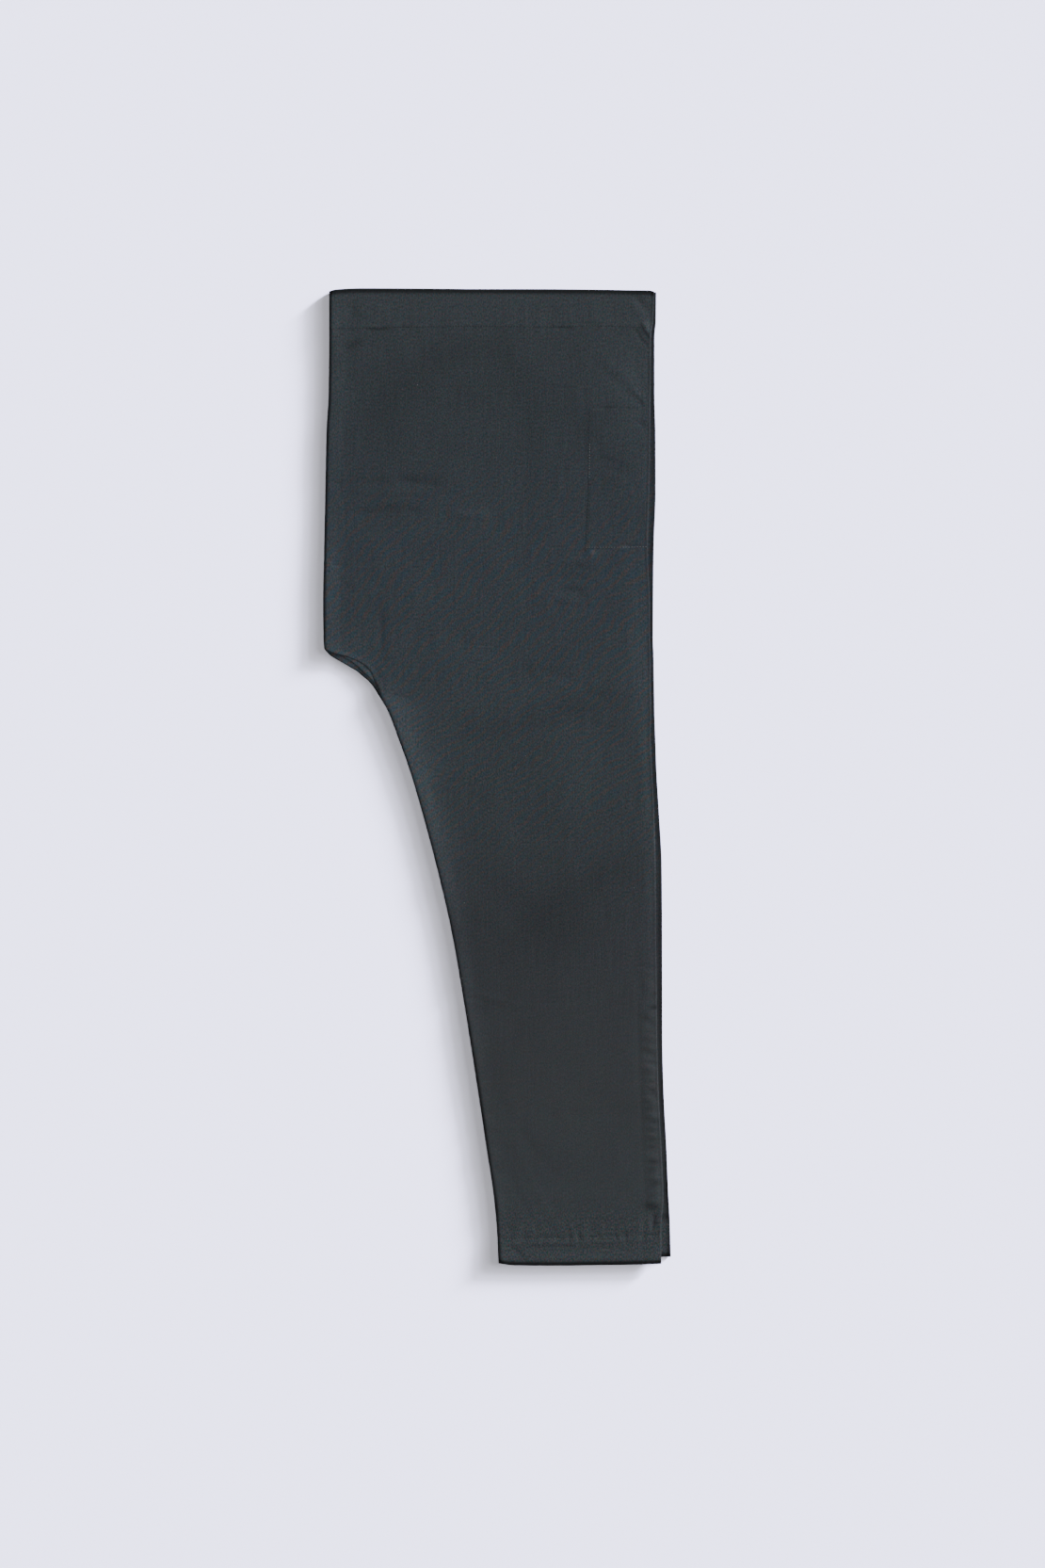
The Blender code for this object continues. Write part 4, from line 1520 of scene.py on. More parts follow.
POCKET_LEFT = ((98.6, 118), (98.4, 127), (97.8, 156), (97.2, 218), (94.6, 262), (94.2, 269))
NEAR_CREASES = (
    Crease(((151, 30), (155, 38), (161, 46), (168, 53)), 0.9, 3.0, 0.3),
    Crease(((144.8, 36), (146.8, 42), (150.6, 49), (155.6, 54), (161.6, 59)), -0.55, 1.4),
    Crease(((146, 5), (152, 14), (162, 23)), -0.6, 3.4),
    Crease(((138, 10), (146, 20), (156, 30)), 0.4, 3.6),
    Crease(((-138, 40.2), (-126, 40.8), (-110, 40.2)), -0.9, 2.0),
    Crease(((-108, 38.6), (-98, 38.4), (-84, 38.4)), -0.3, 1.6),
    Crease(((60, 39.4), (70, 39.4), (80, 39.2)), -0.7, 1.6),
    Crease(((84, 35.8), (94, 35.6), (108, 36.0)), -0.4, 1.6),
    Crease(((-167, 63), (-157, 59), (-149, 55.5), (-140, 54)), -0.8, 4.2, 0.2),
    Crease(((-171, 57), (-160, 50), (-151, 44)), 0.4, 2.0),
    Crease(((-166, 68), (-152, 64), (-138, 58)), 0.35, 3.0),
    Crease(((108, 66), (122, 82), (134, 92), (147, 106), (158, 119)), 0.45, 5.0, 0.2),
    Crease(((104, 78), (120, 94), (136, 108), (148, 120), (157, 129)), -0.28, 2.4),
    Crease(((138, 101), (146, 108.6), (153, 117), (158, 124)), 0.32, 1.9),
    Crease(((141, 107), (148, 114), (153, 120), (157, 125)), -0.4, 1.5),
    Crease(((-127, 18.2), (-119, 17.7), (-111, 17.9)), 0.4, 0.9),
    Crease(((-132, 26), (-130, 20), (-124, 17)), -0.3, 1.6),
    Crease(((-156, 200), (-146, 199), (-134, 201)), -0.3, 2.2),
    Crease(((-112, 198), (-94, 200), (-78, 203), (-56, 203)), -0.85, 4.0),
    Crease(((-150, 212), (-116, 213), (-76, 211)), 0.4, 4.0),
    Crease(((-154, 232), (-143, 235), (-128, 234), (-114, 231), (-100, 230), (-78, 232)), -0.95,
           3.6, 0.2),
    Crease(((-46, 234), (-26, 236), (-4, 234)), 0.45, 3.6),
    Crease(((-142, 227), (-124, 228), (-108, 225)), -0.25, 2.8),
    Crease(((-56, 233), (-30, 236), (-8, 233)), 0.3, 5.0),
    Crease(((102, 168), (112, 176), (124, 182), (140, 186)), -0.3, 3.4),
    Crease(((104, 176), (110, 180), (118, 184)), -0.3, 2.0),
    Crease(((104, 158), (107, 163), (104, 170)), -0.35, 2.4),
    Crease(((106, 190), (122, 198), (140, 208)), 0.35, 5.0),
    Crease(((60, 292), (76, 290), (90, 291), (102, 289)), -0.8, 2.8),
    Crease(((60, 315), (75, 314.6), (92, 316)), -0.8, 2.4),
    Crease(((56, 331), (72, 330), (90, 332)), -0.6, 2.2),
    Crease(((62, 301), (76, 299), (94, 300)), -0.5, 2.6),
    Crease(((-121, 326), (-119, 352), (-118, 378), (-115, 402)), -0.5, 2.4),
    Crease(((2, 848), (28, 884), (44, 906), (70, 934)), -0.2, 6.0),
    Crease(((10, 912), (22, 944), (34, 970), (48, 992)), -0.25, 4.6),
    Crease(((18, 890), (34, 926), (52, 962), (66, 990)), 0.16, 5.0),
    Crease(((117, 265), (128, 268), (143, 269), (157, 265)), -0.4, 1.3),
    Crease(((64, 306), (84, 318), (98, 334)), -0.3, 7.0),
    Crease(((-66, 444), (-20, 446), (34, 436), (84, 424), (122, 417), (160, 416)), 0.45, 12.0, -0.2),
    Crease(((30, 386), (38, 397), (56, 402), (72, 407), (90, 415), (106, 423), (128, 424)), -0.35,
           5.0),
    Crease(((92, 456), (104, 457), (118, 456)), -0.4, 3.6),
    Crease(((-118, 424), (-104, 425), (-88, 427)), -0.5, 2.4),
    Crease(((-32, 732), (-2, 742), (24, 749), (66, 750), (98, 744), (134, 731)), 0.22, 3.4, -0.3),
    Crease(((31, 44), (31.4, 140), (31.8, 260), (32, 380), (32, 470)), -0.14, 1.6),
    Crease(((-179, 82), (-172, 80), (-162, 75)), -0.5, 1.8),
    Crease(((-179, 76), (-172, 73), (-163, 69)), 0.4, 1.8),
    Crease(((-170, 118), (-162, 100), (-152, 86)), -0.3, 4.0),
    Crease(((-177, 202), (-170, 202.6), (-161, 202)), -0.5, 1.6),
    Crease(((-178, 266), (-173, 267), (-168, 266)), -0.45, 1.8),
    Crease(((-177, 284), (-168, 287), (-158, 292)), -0.5, 2.2),
    Crease(((-170, 300), (-160, 308), (-148, 316)), -0.4, 2.6),
    Crease(((-62, 352), (-30, 372), (12, 384)), -0.3, 8.0),
    Crease(((-168, 352), (-150, 330), (-122, 306)), 0.4, 9.0),
    Crease(((-20, 560), (30, 582), (90, 590)), 0.4, 12.0),
    Crease(((-34, 741), (-26, 741.5), (-12, 741)), -0.4, 1.6),
    Crease(((-33, 761), (-26, 761.4), (-19, 761)), -0.35, 1.6),
    Crease(((18, 852), (60, 866), (120, 862), (158, 850)), -0.3, 8.0),
    Crease(((22, 944), (70, 952), (130, 946)), 0.3, 7.0),
    Crease(((153, 960), (162, 960.6), (171, 960)), -1.1, 2.3),
    Crease(((166, 967), (165.4, 975), (163.6, 985)), -0.8, 2.2),
    Crease(((4, 997.4), (60, 997.6), (172, 997.4)), 0.36, 1.5),
    Crease(((20, 1001.6), (60, 1002), (90, 1001.6)), -0.5, 2.0),
    Crease(((36, 984), (80, 979), (130, 981), (168, 984)), 0.4, 1.3),
    Crease(((26, 989), (84, 985.5), (140, 986), (171, 989)), 0.4, 1.2),
    Crease(((50, 975), (96, 970), (150, 973)), 0.22, 1.6),
    Crease(((98, 1001.6), (110, 1002), (124, 1001.6)), -0.5, 1.8),
    Crease(((15, 999), (22, 1006), (32, 1015)), -0.7, 1.8),
)
NEAR_DIMPLES = (
    Dimple(157, 33.5, 4.4, 4.0, 40, 0.8),
    Dimple(152.6, 141.4, 4.6, 2.8, 18, -0.9),
    Dimple(-150, 22, 5.0, 6.0, 20, -0.4),
    Dimple(100.4, 276.6, 3.4, 3.4, 0, 0.7),
    Dimple(88, 290, 3.6, 3.2, 0, -0.5),
    Dimple(-145, 389, 28.0, 9.0, 34, -1.75),
    Dimple(-124, 411, 13.0, 7.0, 62, -0.9),
    Dimple(-30, 110, 90.0, 44.0, -10, -0.7),
    Dimple(-20, 300, 90.0, 60.0, 30, 0.5),
    Dimple(60, 510, 60.0, 60.0, 10, 0.7),
    Dimple(52, 664, 52.0, 52.0, 0, -0.6),
)
# Painted light and shade on the left front: darker lines in creases and beside stitching, paler
# ridges, darker places below the casing and at the knee, and paler places at the crotch.
NEAR_PAINTED_SHADING = (
    ShadeSpot(-95, 101, 40, 20, -40, -0.11),
    ShadeSpot(-47, 66, 44, 15, -12, -0.08),
    ShadeSpot(14, 74, 44, 12, 70, -0.08),
    ShadeSpot(38, 150, 60, 12, 84, -0.07),
    ShadeSpot(-118, 150, 34, 22, 80, -0.08),
    ShadeSpot(-147, 55.5, 9, 5.0, -12, -0.18),
    ShadeSpot(-159, 60.5, 9, 3.6, -25, -0.12),
    ShadeSpot(-148, 21, 6, 7, 0, -0.10),
    ShadeSpot(-142, 27, 4, 3, 0, -0.10),
    ShadeSpot(-124, 40.2, 11, 1.8, 0, -0.18),
    ShadeSpot(-127, 42.6, 8, 1.8, 4, -0.17),
    ShadeSpot(-124, 35.6, 6, 1.3, 0, 0.09),
    ShadeSpot(-168, 37.8, 9, 1.3, 0, -0.12),
    ShadeSpot(70, 39.0, 8, 1.5, 0, -0.16),
    ShadeSpot(96, 36.0, 11, 1.2, 0, -0.10),
    ShadeSpot(-119, 18, 7, 1.5, 0, 0.22),
    ShadeSpot(146.6, 41, 6, 1.4, 64, -0.24),
    ShadeSpot(154, 52, 6.4, 1.5, 44, -0.22),
    ShadeSpot(157, 35, 7.4, 4.4, 20, 0.24),
    ShadeSpot(160.6, 38.6, 3.6, 1.7, -30, 0.36),
    ShadeSpot(151, 10, 8, 3.4, 50, -0.14),
    ShadeSpot(152.6, 141.6, 4.4, 2.6, 20, -0.18),
    ShadeSpot(94.0, 164, 26, 1.6, 90, -0.10),
    ShadeSpot(95.8, 240, 32, 1.3, 92, -0.15),
    ShadeSpot(120, 123.5, 8.4, 1.1, 0, -0.46),
    ShadeSpot(143, 124.6, 7, 1.1, 2, -0.34),
    ShadeSpot(147.5, 267.4, 9, 1.1, 0, -0.26),
    ShadeSpot(147.5, 270.4, 9, 1.2, 0, 0.10),
    ShadeSpot(152, 119, 8, 1.3, 50, -0.17),
    ShadeSpot(147.6, 109.4, 11, 1.3, 45, 0.10),
    ShadeSpot(94.4, 150, 14, 1.3, 90, -0.07),
    ShadeSpot(88, 290, 4, 3.4, 0, -0.16),
    ShadeSpot(101, 276.4, 3.2, 3.2, 0, 0.40),
    ShadeSpot(93.4, 272.6, 3.0, 1.4, 0, -0.26),
    ShadeSpot(134.6, 269.6, 2.2, 1.8, 0, 0.7),
    ShadeSpot(118, 178, 22, 2.6, 16, -0.09),
    ShadeSpot(130, 188, 20, 2.4, 12, -0.09),
    ShadeSpot(-110, 200, 44, 4, 0, -0.06),
    ShadeSpot(-116, 233, 34, 4.4, -2, -0.07),
    ShadeSpot(36, 398, 14, 4, 50, -0.15),
    ShadeSpot(104, 423, 14, 4, 8, -0.15),
    ShadeSpot(46, 664, 46, 40, 20, -0.13),
    ShadeSpot(-18, 540, 20, 34, 0, -0.05),
    ShadeSpot(66, 436, 40, 6, -6, -0.05),
    ShadeSpot(116, 613, 52, 19, -28, -0.11),
    ShadeSpot(136, 672, 26, 15, -10, 0.05),
    ShadeSpot(64, 572, 26, 34, 0, -0.04),
    ShadeSpot(0, 618, 30, 18, 30, -0.07),
    ShadeSpot(60, 800, 70, 40, 0, 0.03),
    ShadeSpot(30, 802, 26, 30, 0, -0.06),
    ShadeSpot(82, 916, 44, 18, 12, -0.05),
    ShadeSpot(78, 630, 18, 54, 0, -0.04),
    ShadeSpot(30, 740, 60, 7, 6, -0.02),
    ShadeSpot(-12, 736.5, 18, 3, 4, 0.06),
    ShadeSpot(-4, 747, 24, 4.4, 5, -0.06),
    ShadeSpot(40, 414, 120, 10, -9, 0.04),
    ShadeSpot(140, 90, 66, 30, 80, 0.12),
    ShadeSpot(82, 500, 24, 44, 0, 0.05),
    ShadeSpot(-26, 235, 22, 3.2, 0, 0.10),
    ShadeSpot(-88, 201, 34, 4.6, 3, -0.10),
    ShadeSpot(78, 291, 22, 4, 0, -0.10),
    ShadeSpot(80, 299, 18, 5, 0, -0.09),
    ShadeSpot(76, 315.4, 16, 2.6, 0, -0.09),
    ShadeSpot(74, 331.4, 16, 2.2, 0, -0.08),
    ShadeSpot(78, 307, 15, 2.4, 0, 0.05),
    ShadeSpot(76, 322.6, 18, 3.0, 0, 0.04),
    ShadeSpot(-172, 320, 44, 9, 88, 0.16),
    ShadeSpot(-86, 470, 56, 24, 66, 0.14),
    ShadeSpot(-66, 560, 70, 16, 72, 0.10),
    ShadeSpot(50, 450, 90, 9, -12, -0.08),
    ShadeSpot(30, 700, 70, 60, 0, -0.05),
    ShadeSpot(46, 540, 22, 34, 0, -0.05),
    ShadeSpot(-24, 744, 20, 3, 12, 0.07),
    ShadeSpot(60, 752, 40, 4, -8, 0.05),
    ShadeSpot(-119, 366, 36, 3.2, 88, -0.15),
    ShadeSpot(-104, 380, 26, 10, 80, 0.05),
    ShadeSpot(-45, 108, 34, 16, 0, -0.05),
    ShadeSpot(-156, 115, 60, 12, 84, 0.07),
    ShadeSpot(125, 105, 60, 22, 72, 0.07),
    ShadeSpot(156, 195, 26, 6, 90, 0.12),
    ShadeSpot(34, 250, 60, 9, 92, -0.04),
    ShadeSpot(-112, 231.5, 36, 5, 0, -0.09),
    ShadeSpot(-30, 390, 52, 26, -8, 0.05),
    ShadeSpot(40, 830, 60, 60, 0, -0.03),
    ShadeSpot(154, 404, 76, 12, 88, 0.12),
    ShadeSpot(-150, 380, 34, 20, -10, 0.10),
    ShadeSpot(-100, 436, 16, 8, 20, 0.12),
    ShadeSpot(167, 737, 4.6, 1.9, -5, -0.22),
    ShadeSpot(166.7, 750.6, 5.8, 2.1, -4, -0.52),
    ShadeSpot(165, 745.4, 6, 1.5, -4, 0.09),
    ShadeSpot(158, 840.6, 5.6, 1.7, 0, -0.26),
    ShadeSpot(159, 848.2, 5.4, 1.6, 0, -0.28),
    ShadeSpot(159, 856.6, 6.0, 1.8, 6, -0.28),
    ShadeSpot(165.7, 870, 5.6, 2.5, -8, -0.26),
    ShadeSpot(163, 879, 5.4, 1.7, 0, -0.26),
    ShadeSpot(164.7, 888, 7, 2.6, 4, -0.29),
    ShadeSpot(163, 896, 6.0, 1.7, 0, -0.27),
    ShadeSpot(165.5, 911.5, 7, 2.9, 0, -0.35),
    ShadeSpot(164, 919.4, 5.2, 2.2, 0, -0.22),
    ShadeSpot(166, 935, 6.8, 2.9, -4, -0.33),
    ShadeSpot(164, 948, 5.6, 2.3, 6, -0.20),
    ShadeSpot(162.6, 960.6, 8.6, 4.1, 2, -0.40),
    ShadeSpot(168, 971.7, 4.6, 2.3, 0, -0.24),
    ShadeSpot(165.4, 976, 9, 2.0, 90, -0.18),
    ShadeSpot(161, 960, 13, 9, 0, -0.08),
    ShadeSpot(165.6, 989, 17, 3.8, 90, -0.27),
    ShadeSpot(165, 926, 26, 3.4, 88, -0.08),
    ShadeSpot(153.6, 880, 80, 2.0, 88, -0.08),
    ShadeSpot(150.6, 780, 60, 2.4, 88, -0.05),
    ShadeSpot(165.4, 775, 52, 1.4, 89, 0.10),
    ShadeSpot(167.6, 862, 40, 1.4, 87.4, 0.08),
    ShadeSpot(170.8, 926, 30, 1.4, 86.4, 0.08),
    ShadeSpot(162, 844.6, 6, 1.3, 0, 0.10),
    ShadeSpot(161, 852.2, 6, 1.3, 4, 0.10),
    ShadeSpot(163, 863, 6, 2.0, 0, 0.09),
    ShadeSpot(164, 883.4, 6, 1.5, 0, 0.09),
    ShadeSpot(164, 904, 6, 2.2, 0, 0.08),
    ShadeSpot(165, 927, 6, 2.6, 0, 0.07),
    ShadeSpot(165, 941.6, 6, 1.7, 0, 0.08),
    ShadeSpot(164, 954, 6, 2.0, 0, 0.09),
    ShadeSpot(90, 1011, 80, 3.4, 0, 0.10),
    ShadeSpot(60, 1001.6, 44, 1.6, 0, -0.14),
    ShadeSpot(110, 1001.8, 14, 1.5, 0, -0.14),
    ShadeSpot(88, 990.4, 84, 1.4, 0, -0.10),
    ShadeSpot(24, 1007.5, 11, 1.6, 44, -0.26),
    ShadeSpot(100, 986, 60, 5, 0, 0.06),
    ShadeSpot(-140, 386, 28, 9.0, 34, 0.22),
    ShadeSpot(-129.5, 404, 12, 4.2, 62, 0.36),
)
# Painted light and shade along the left front's edges: paler bands inside the edges and darker rims
# at the rolled waist, foot and sides.
NEAR_EDGE_PAINTED_SHADING = (
    EdgeShade("near_front", 20, 400, 19, 0.16),
    EdgeShade("near_front", 400, 650, 24, 0.16),
    EdgeShade("near_front", 720, 1060, 9, 0.08),
    EdgeShade("near_side", 20, 400, 20, 0.09),
    EdgeShade("near_side", 400, 1060, 17, 0.12),
    EdgeShade("near_side", 740, 1000, 14, 0.03),
    EdgeShade("near_side", -30, 560, 3.0, -0.45),
    EdgeShade("near_side", 600, 1060, 3.3, -0.26),
    EdgeShade("near_front", -30, 1060, 2.9, -0.66),
    EdgeShade("near_front", 700, 1060, 4.2, -0.15),
    EdgeShade("near_front", 600, 800, 15, 0.14),
    EdgeShade("waist", -30, 1060, 4.9, -0.88),
    EdgeShade("foot", -30, 1060, 4.2, -0.82),
    EdgeShade("near_front", 420, 600, 30, 0.11),
)
# Two darker spots on the right back's strip near its hem.
STRIP_DARK_SPOTS = (
    ShadeSpot(177, 979, 5, 1.5, 0, -0.4),
    ShadeSpot(178, 947, 3, 1.5, 0, -0.3),
)
# Painted shade: darker rims along the edges of the right back's strip.
STRIP_EDGE_PAINTED_SHADE = (
    EdgeShade("far_side", -30, 1060, 4.2, -0.6),
    EdgeShade("far_side", 700, 1060, 1.8, -0.25),
    EdgeShade("far_back", -30, 1060, 2.2, -0.55),
    EdgeShade("far_back", 395, 480, 2.6, -0.3),
    EdgeShade("foot", -30, 1060, 2.2, -0.6),
)
# Painted shade: a darker rim along the left back's edge.
BACK_EDGE_PAINTED_SHADE = (
    EdgeShade("near_back", -30, 1060, 1.8, -0.3),
)
NEAR_PUCKERS = (
    Puckers(((-174, 38), (166, 38)), 8.0, 5.0, 0.34, 21),
    Puckers(((2, 992.5), (174, 992.5)), 6.5, 4.5, 0.62, 33),
    Puckers(((20, 983), (120, 982), (172, 984)), 9.0, 7.0, 0.4, 35),
    Puckers(((98.6, 126), (97.7, 180), (95.8, 221), (94.4, 268)), 8.0, 3.0, 0.16, 41),
    Puckers(((94, 270.5), (158, 270.5)), 7.0, 3.0, 0.16, 47),
    Puckers(((99, 126), (159, 124)), 7.0, 2.6, 0.14, 51),
    Puckers(((160, 690), (161, 760), (163, 840), (164.5, 900), (165, 985)), 8.0, 6.5, 1.2, 57),
    Puckers(((-33, 722), (-23, 782), (-14, 840), (-4, 900), (4, 950), (7, 990)), 14.0, 7.0,
            0.45, 63),
    Puckers(((-96, 470), (-72, 545), (-56, 604), (-42, 663), (-33, 722)), 22.0, 7.0, 0.3, 67),
    Puckers(((-174, 60), (-175, 110), (-178, 210), (-180, 330)), 24.0, 8.0, 0.3, 71),
)
NEAR_BANDS = (
    EdgeBand("near_front", 40, 400, 6.0, 9.0, 0.45, 5),
    EdgeBand("near_front", 400, 1060, 5.0, 8.0, 0.45, 9),
    EdgeBand("near_side", 30, 440, 4.5, 6.0, 0.3, 13),
    EdgeBand("near_side", 420, 740, 9.0, 8.0, 0.5, 17),
    EdgeBand("near_side", 700, 1060, 8.0, 6.5, 0.5, 18),
    EdgeBand("near_side", 700, 1060, 19.5, 2.2, -0.25, 19),
)
LEDGE = ((-176, 378), (-160, 385), (-146, 391), (-136, 397), (-128, 408), (-120, 426),
         (-112, 444))
BACK_CREASES = (Crease(LEDGE, -1.25, 9.0),)
# Painted light on the left and right backs at the crotch, where the left front's shadow falls on
# them.
LEDGE_PAINTED_LIGHT = (ShadeSpot(-152, 390, 26, 8, 36, 0.5), ShadeSpot(-127, 409, 13, 6.5, 56, 0.55))
NEAR_PADS = (
    Pad(POCKET_LEFT, 125, 270.5, 2.4, 0.32),
)
FAR_CREASES = (
    Crease(((-140, 58), (-120, 44), (-96, 40)), 0.5, 3.0),
    Crease(((-60, 40), (-30, 41), (0, 40)), 0.5, 2.4),
    Crease(((60, 41), (90, 46), (124, 60)), 0.55, 3.4),
    Crease(((-170, 250), (-140, 262), (-100, 258)), 0.6, 4.0),
    Crease(((20, 330), (70, 352), (150, 362)), 0.55, 7.0),
    Crease(((-100, 392), (-50, 430), (10, 446)), 0.5, 8.0),
    Crease(((-30, 728), (30, 744), (110, 738)), 0.6, 4.0),
    Crease(((0, 880), (60, 890), (140, 876)), 0.45, 6.0),
    Crease(((152, 720), (163, 723), (173, 724)), 0.5, 1.8),
    Crease(((155, 747), (165, 750), (173, 750)), 0.4, 1.8),
)
FAR_PUCKERS = (
    Puckers(((-174, 38), (166, 38)), 8.0, 5.0, 0.3, 121),
    Puckers(((2, 986), (178, 986)), 7.0, 4.5, 0.26, 133),
)
STRIP_CREASES = (
    Crease(LEDGE, 1.25, 9.0),
    Crease(((150, 720), (163, 724), (176, 726)), -0.6, 1.8),
    Crease(((152, 746), (165, 750), (176, 752)), -0.55, 1.6),
    Crease(((150, 205), (160, 207), (168, 208)), -0.3, 1.8),
    Crease(((156, 880), (168, 884), (180, 886)), -0.3, 2.0),
    Crease(((158, 985.4), (170, 985.4), (190, 985.4)), -0.8, 1.6),
)
NEAR_FINE_ROWS = (
    FineRows(0.0, 3.0, 0.45), FineRows(38.0, 3.0, 0.8), FineRows(95.0, 24.0, 1.9),
    FineRows(125.0, 2.5, 1.2), FineRows(230.0, 6.0, 1.9), FineRows(271.0, 2.5, 1.2),
    FineRows(392.0, 18.0, 1.7), FineRows(745.0, 10.0, 1.7), FineRows(993.5, 3.0, 0.8),
    FineRows(1021.0, 3.0, 0.45),
)
HIDDEN_FINE_ROWS = (
    FineRows(0.0, 1.0, 0.3), FineRows(38.0, 1.0, 1.2), FineRows(392.0, 18.0, 2.6),
    FineRows(986.0, 2.0, 1.2), FineRows(993.5, 2.0, 1.2), FineRows(1021.0, 1.0, 0.3),
)
NEAR_INSETS = (0.0, 0.9, 1.9, 3.0, 4.2, 5.5, 6.9, 8.4, 10.0, 11.8, 13.8, 16.0, 18.4, 21.0)
HIDDEN_INSETS = (0.0, 1.8, 4.2, 8.0, 14.0, 22.0)
NEAR_STITCHES = (
    StitchLine("left_casing_stitches", "casing_cloth", ((-173, 37.6), (164, 37.6))),
    StitchLine("left_hem_stitches", "hem_cloth", ((5, 993.2), (172, 993.2)), ThreadTone.GREY),
    StitchLine("left_pocket_side_stitches", "pocket_cloth", ((97.4, 199),) + POCKET_LEFT[3:]),
    StitchLine("left_pocket_side_pale_stitches", "pocket_cloth", ((97.8, 161), (97.4, 198)),
               ThreadTone.PALE, 1.2),
    StitchLine("left_pocket_corner_stitches", "pocket_cloth", ((98.4, 128), (97.8, 160))),
    StitchLine("left_pocket_top_stitches", "pocket_cloth", ((99, 127.6), (127, 126.2),
                                                            (159, 126.4))),
    StitchLine("left_pocket_foot_stitches", "pocket_cloth", ((93, 270.2), (134, 270),
                                                             (158, 269.5)), ThreadTone.PALE),
    StitchLine("left_leg_loose_thread", "panel_cloth", ((-39, 719), (-34, 721)),
               ThreadTone.PALE),
)
FAR_STITCHES = (
    StitchLine("right_casing_stitches", "casing_cloth", ((-172, 37.6), (164, 37.6))),
    StitchLine("right_hem_stitches", "hem_cloth", ((6, 985.6), (177, 985.6))),
)
STRIP_STITCHES = (
    StitchLine("right_back_hem_stitches", "hem_cloth", ((6, 985.6), (177, 985.6))),
)


@dataclass
class PocketBag:
    """The flat bag between the left front and the left back, two layers of cloth as one."""

    cut: Cut
    top: float = 128 * MM
    foot: float = 266 * MM
    side_inset: float = 6 * MM
    left_inset: float = 3 * MM
    middle: float = 5.85 * MM
    wall: float = 0.5 * MM
    columns: int = 16
    rows: int = 36
    ripple: float = 0.05 * MM
    turns_across: float = 260.0
    turns_down: float = 170.0
    round_share: float = 0.3
    round_angle: float = 60.0

    def build(self) -> bpy.types.Object:
        """Shape a grid to the bag's outline and give it a wall.

        Returns:
            The piece, with a UV map in metres.
        """
        bpy.ops.object.select_all(action="DESELECT")
        bpy.ops.mesh.primitive_grid_add(x_subdivisions=self.columns, y_subdivisions=self.rows,
                                        size=1.0)
        bag = bpy.context.active_object
        bag.name = "left_pocket_bag_cloth"
        mesh = bag.data
        shares = np.array([vertex.co[:2] for vertex in mesh.vertices]) + 0.5
        drop = blend(self.foot, self.top, shares[:, 1])
        left = Curve([point[1] for point in POCKET_LEFT], [point[0] for point in POCKET_LEFT])
        x = blend(left.at(drop) + self.left_inset,
                  self.cut.edge("near_side", drop) - self.side_inset, shares[:, 0])
        ripples = np.sin(x * self.turns_across) * np.sin(drop * self.turns_down)
        z = self.middle + self.ripple * ripples
        points = np.stack((x, self.cut.y_at(drop, x, False), z), axis=-1)
        mesh.vertices.foreach_set("co", points.ravel())
        mesh.update()
        mesh.uv_layers[0].name = "cloth"
        corners = np.array([loop.vertex_index for loop in mesh.loops])
        mesh.uv_layers[0].data.foreach_set("uv", points[corners, :2].ravel())
        solid = bag.modifiers.new("wall", "SOLIDIFY")
        solid.thickness = self.wall
        solid.offset = 0.0
        round_over = bag.modifiers.new("edges", "BEVEL")
        round_over.width = self.wall * self.round_share
        round_over.segments = 2
        round_over.angle_limit = math.radians(self.round_angle)
        for modifier in ("wall", "edges"):
            bpy.ops.object.modifier_apply(modifier=modifier)
        bag.data.shade_smooth()
        LOG.info("%s: %d faces", bag.name, len(bag.data.polygons))
        return bag


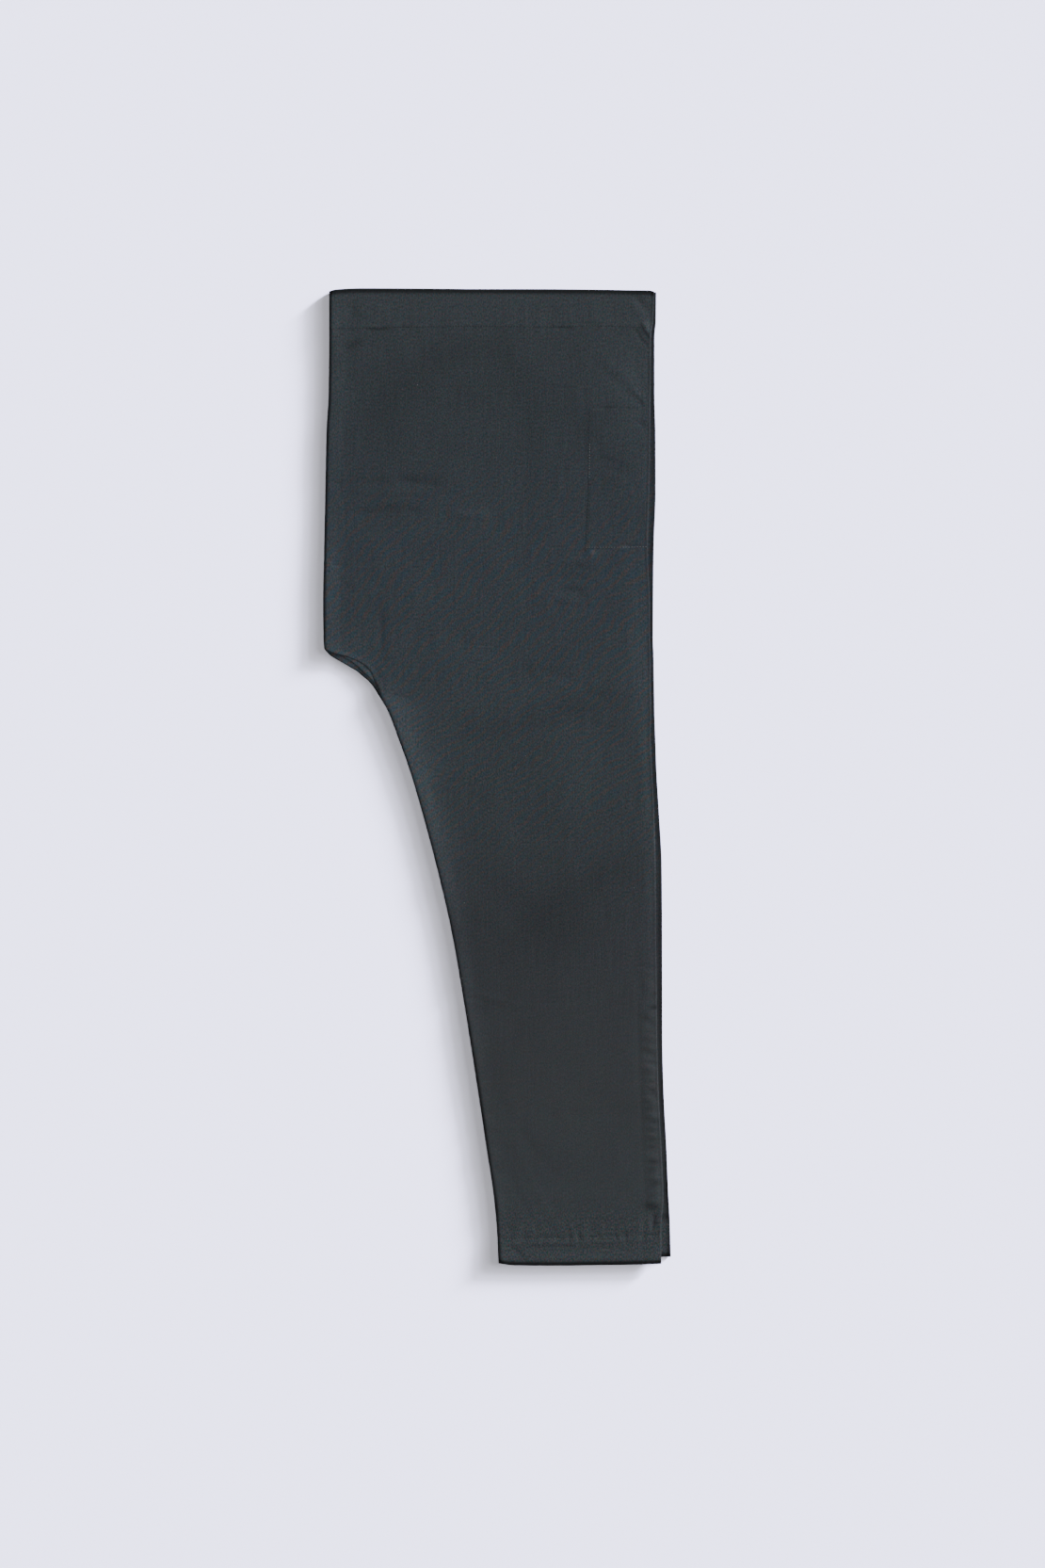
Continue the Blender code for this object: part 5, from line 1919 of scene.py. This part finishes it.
@dataclass
class Trousers:
    """The folded garment: four sheets of cloth, a pocket bag and the rows of stitches."""

    cut: Cut = field(default_factory=Cut)
    cloth: WovenCotton = WovenCotton()

    def build(self) -> None:
        """Build the sheets and their stitches."""
        cut = self.cut
        cloth = self.cloth.material("slate_cotton")
        near = SheetGrid(cut, "near_front", "near_side", 2.6 * MM, NEAR_FINE_ROWS, 105,
                         NEAR_INSETS, fine_gain=1.4)
        near_front = NearFront("left_front_cloth", cut, near,
                               Relief(cut, NEAR_CREASES, NEAR_DIMPLES, NEAR_PUCKERS, NEAR_BANDS,
                                      NEAR_PADS),
                               PaintedShading(cut, NEAR_PAINTED_SHADING, NEAR_EDGE_PAINTED_SHADING), end_round=3.5 * MM)
        near_back_grid = SheetGrid(cut, "near_back", "near_side", 6 * MM, HIDDEN_FINE_ROWS, 31,
                                   HIDDEN_INSETS, fold_inset=1.0 * MM, shorter=1.0 * MM)
        near_back = NearBack("left_back_cloth", cut, near_back_grid,
                             Relief(cut, BACK_CREASES, swell=0.1 * MM, seed=5),
                             PaintedShading(cut, LEDGE_PAINTED_LIGHT, BACK_EDGE_PAINTED_SHADE), faces_up=False,
                             is_wrapped=True)
        far_back_grid = SheetGrid(cut, "far_back", "far_side", 5 * MM, HIDDEN_FINE_ROWS, 35,
                                  HIDDEN_INSETS, fold_inset=1.0 * MM, shorter=1.0 * MM)
        far_back = FarBack("right_back_cloth", cut, far_back_grid,
                           Relief(cut, STRIP_CREASES, swell=0.08 * MM, seed=8),
                           PaintedShading(cut, LEDGE_PAINTED_LIGHT + STRIP_DARK_SPOTS, STRIP_EDGE_PAINTED_SHADE), is_far=True,
                           is_wrapped=True)
        far_grid = SheetGrid(cut, "far_back", "far_side", 3.6 * MM, HIDDEN_FINE_ROWS, 75,
                             HIDDEN_INSETS)
        far_front = FarFront("right_front_cloth", cut, far_grid,
                             Relief(cut, FAR_CREASES, puckers=FAR_PUCKERS, swell=0.2 * MM,
                                    seed=14),
                             PaintedShading(cut), is_far=True, faces_up=False)
        front, back, other_back, under = (
            self.dress(sheet.build(), cloth) for sheet in (near_front, near_back, far_back,
                                                           far_front))
        bag = self.dress(PocketBag(cut).build(), cloth, "pocket_cloth")
        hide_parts("left_front", "left_front_casing", "left_front_hem")
        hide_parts("folded_backs")
        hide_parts("left_pocket_bag")
        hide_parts("right_front", "right_front_casing", "right_front_hem")
        threads = {tone: SewingThread(tone).material(f"{tone.name.lower()}_thread")
                   for tone in ThreadTone}
        stitch = Stitch().model()
        sewn = Sewing(near_front, NEAR_STITCHES).build(stitch, threads)
        far_sewn = Sewing(far_front, FAR_STITCHES, seed=31).build(stitch, threads)
        back_sewn = Sewing(far_back, STRIP_STITCHES, seed=41).build(stitch, threads)

    @staticmethod
    def dress(piece: bpy.types.Object, cloth: bpy.types.Material,
              slot: str = "panel_cloth") -> bpy.types.Object:
        """Give one piece its cloth and its place in the frame."""
        piece.data.materials.append(cloth)
        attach(piece, "root")
        return piece


class Lit(Enum):
    """What a studio light falls on."""

    FLOOR = "floor"
    CLOTH = "cloth"


class Sun(NamedTuple):
    """A soft light: degrees above the floor, degrees from +X towards +Y, and spread."""

    name: str
    height: float
    turn: float
    spread: float
    strength: float
    lit: Lit
    colour: Colour = (1.0, 1.0, 1.0)


SUNS = (
    Sun("overhead", 90, 0, 20, 1.15, Lit.CLOTH),
    Sun("side_window", 23, 26, 34, 3.7, Lit.CLOTH),
    Sun("fill", 40, 205, 80, 0.2, Lit.CLOTH),
    Sun("low_window", 9.8, 35.1, 7.9, 40.5, Lit.FLOOR, (1.0, 1.0, 1.4)),
    Sun("window", 14.5, 30, 15.3, 14.8, Lit.FLOOR, (1.0, 1.0, 1.3)),
    Sun("high_window", 23.5, 18.6, 39.9, 5.4, Lit.FLOOR, (1.0, 1.0, 1.15)),
    Sun("ceiling", 88, 0, 20, 2.27, Lit.FLOOR),
)


@dataclass
class Studio:
    """The pale floor, the soft lights and the camera over the garment."""

    camera_over: tuple[float, float] = (27.7 * MM, -6.9 * MM)
    camera_height: float = 4.5595
    floor_colour: Colour = (0.635, 0.630, 0.702)
    floor_size: float = 12.0
    floor_height: float = -0.0002
    lens: float = 100.0
    sensor_width: float = 36.0

    def build(self) -> None:
        """Set the stage."""
        bpy.ops.object.select_all(action="DESELECT")
        bpy.ops.mesh.primitive_plane_add(size=self.floor_size,
                                         location=(0.0, 0.0, self.floor_height))
        floor = bpy.context.active_object
        floor.name = "studio_floor"
        kit = NodeTree.matt("pale_floor", roughness=1.0, specular=0.0)
        kit.shader.inputs["Base Color"].default_value = (*self.floor_colour, 1.0)
        floor.data.materials.append(kit.material)
        floor.visible_diffuse = False
        for sun in SUNS:
            self.add_sun(sun, floor)
        self.add_camera()

    @staticmethod
    def add_sun(sun: Sun, floor: bpy.types.Object) -> None:
        """Add a soft light that falls on the floor alone, or on all but the floor.

        Args:
            sun: the light.
            floor: the studio's floor.
        """
        data = bpy.data.lights.new(sun.name, "SUN")
        data.energy = sun.strength
        data.color = sun.colour
        data.angle = math.radians(sun.spread)
        lamp = placed(sun.name, data)
        height, turn = math.radians(sun.height), math.radians(sun.turn)
        away = Vector((math.cos(height) * math.cos(turn), math.cos(height) * math.sin(turn),
                       math.sin(height)))
        lamp.rotation_mode = "QUATERNION"
        lamp.rotation_quaternion = (-away).to_track_quat("-Z", "Y")
        falls_on = bpy.data.collections.new(f"{sun.name}_falls_on")
        falls_on.objects.link(floor)
        if sun.lit is Lit.CLOTH:
            falls_on.collection_objects[0].light_linking.link_state = "EXCLUDE"
        lamp.light_linking.receiver_collection = falls_on

    def add_camera(self) -> None:
        """Hang the camera straight above, as the photograph was taken."""
        data = bpy.data.cameras.new("overhead_camera")
        data.lens = self.lens
        data.sensor_width = self.sensor_width
        camera = placed("overhead_camera", data)
        camera.location = (*self.camera_over, self.camera_height)
        bpy.context.scene.camera = camera


def main() -> None:
    """Build the trousers and the studio."""
    logging.basicConfig(level=logging.INFO, format="%(name)s: %(message)s")
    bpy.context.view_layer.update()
    Trousers().build()
    Studio().build()


if __name__ == "__main__":
    main()
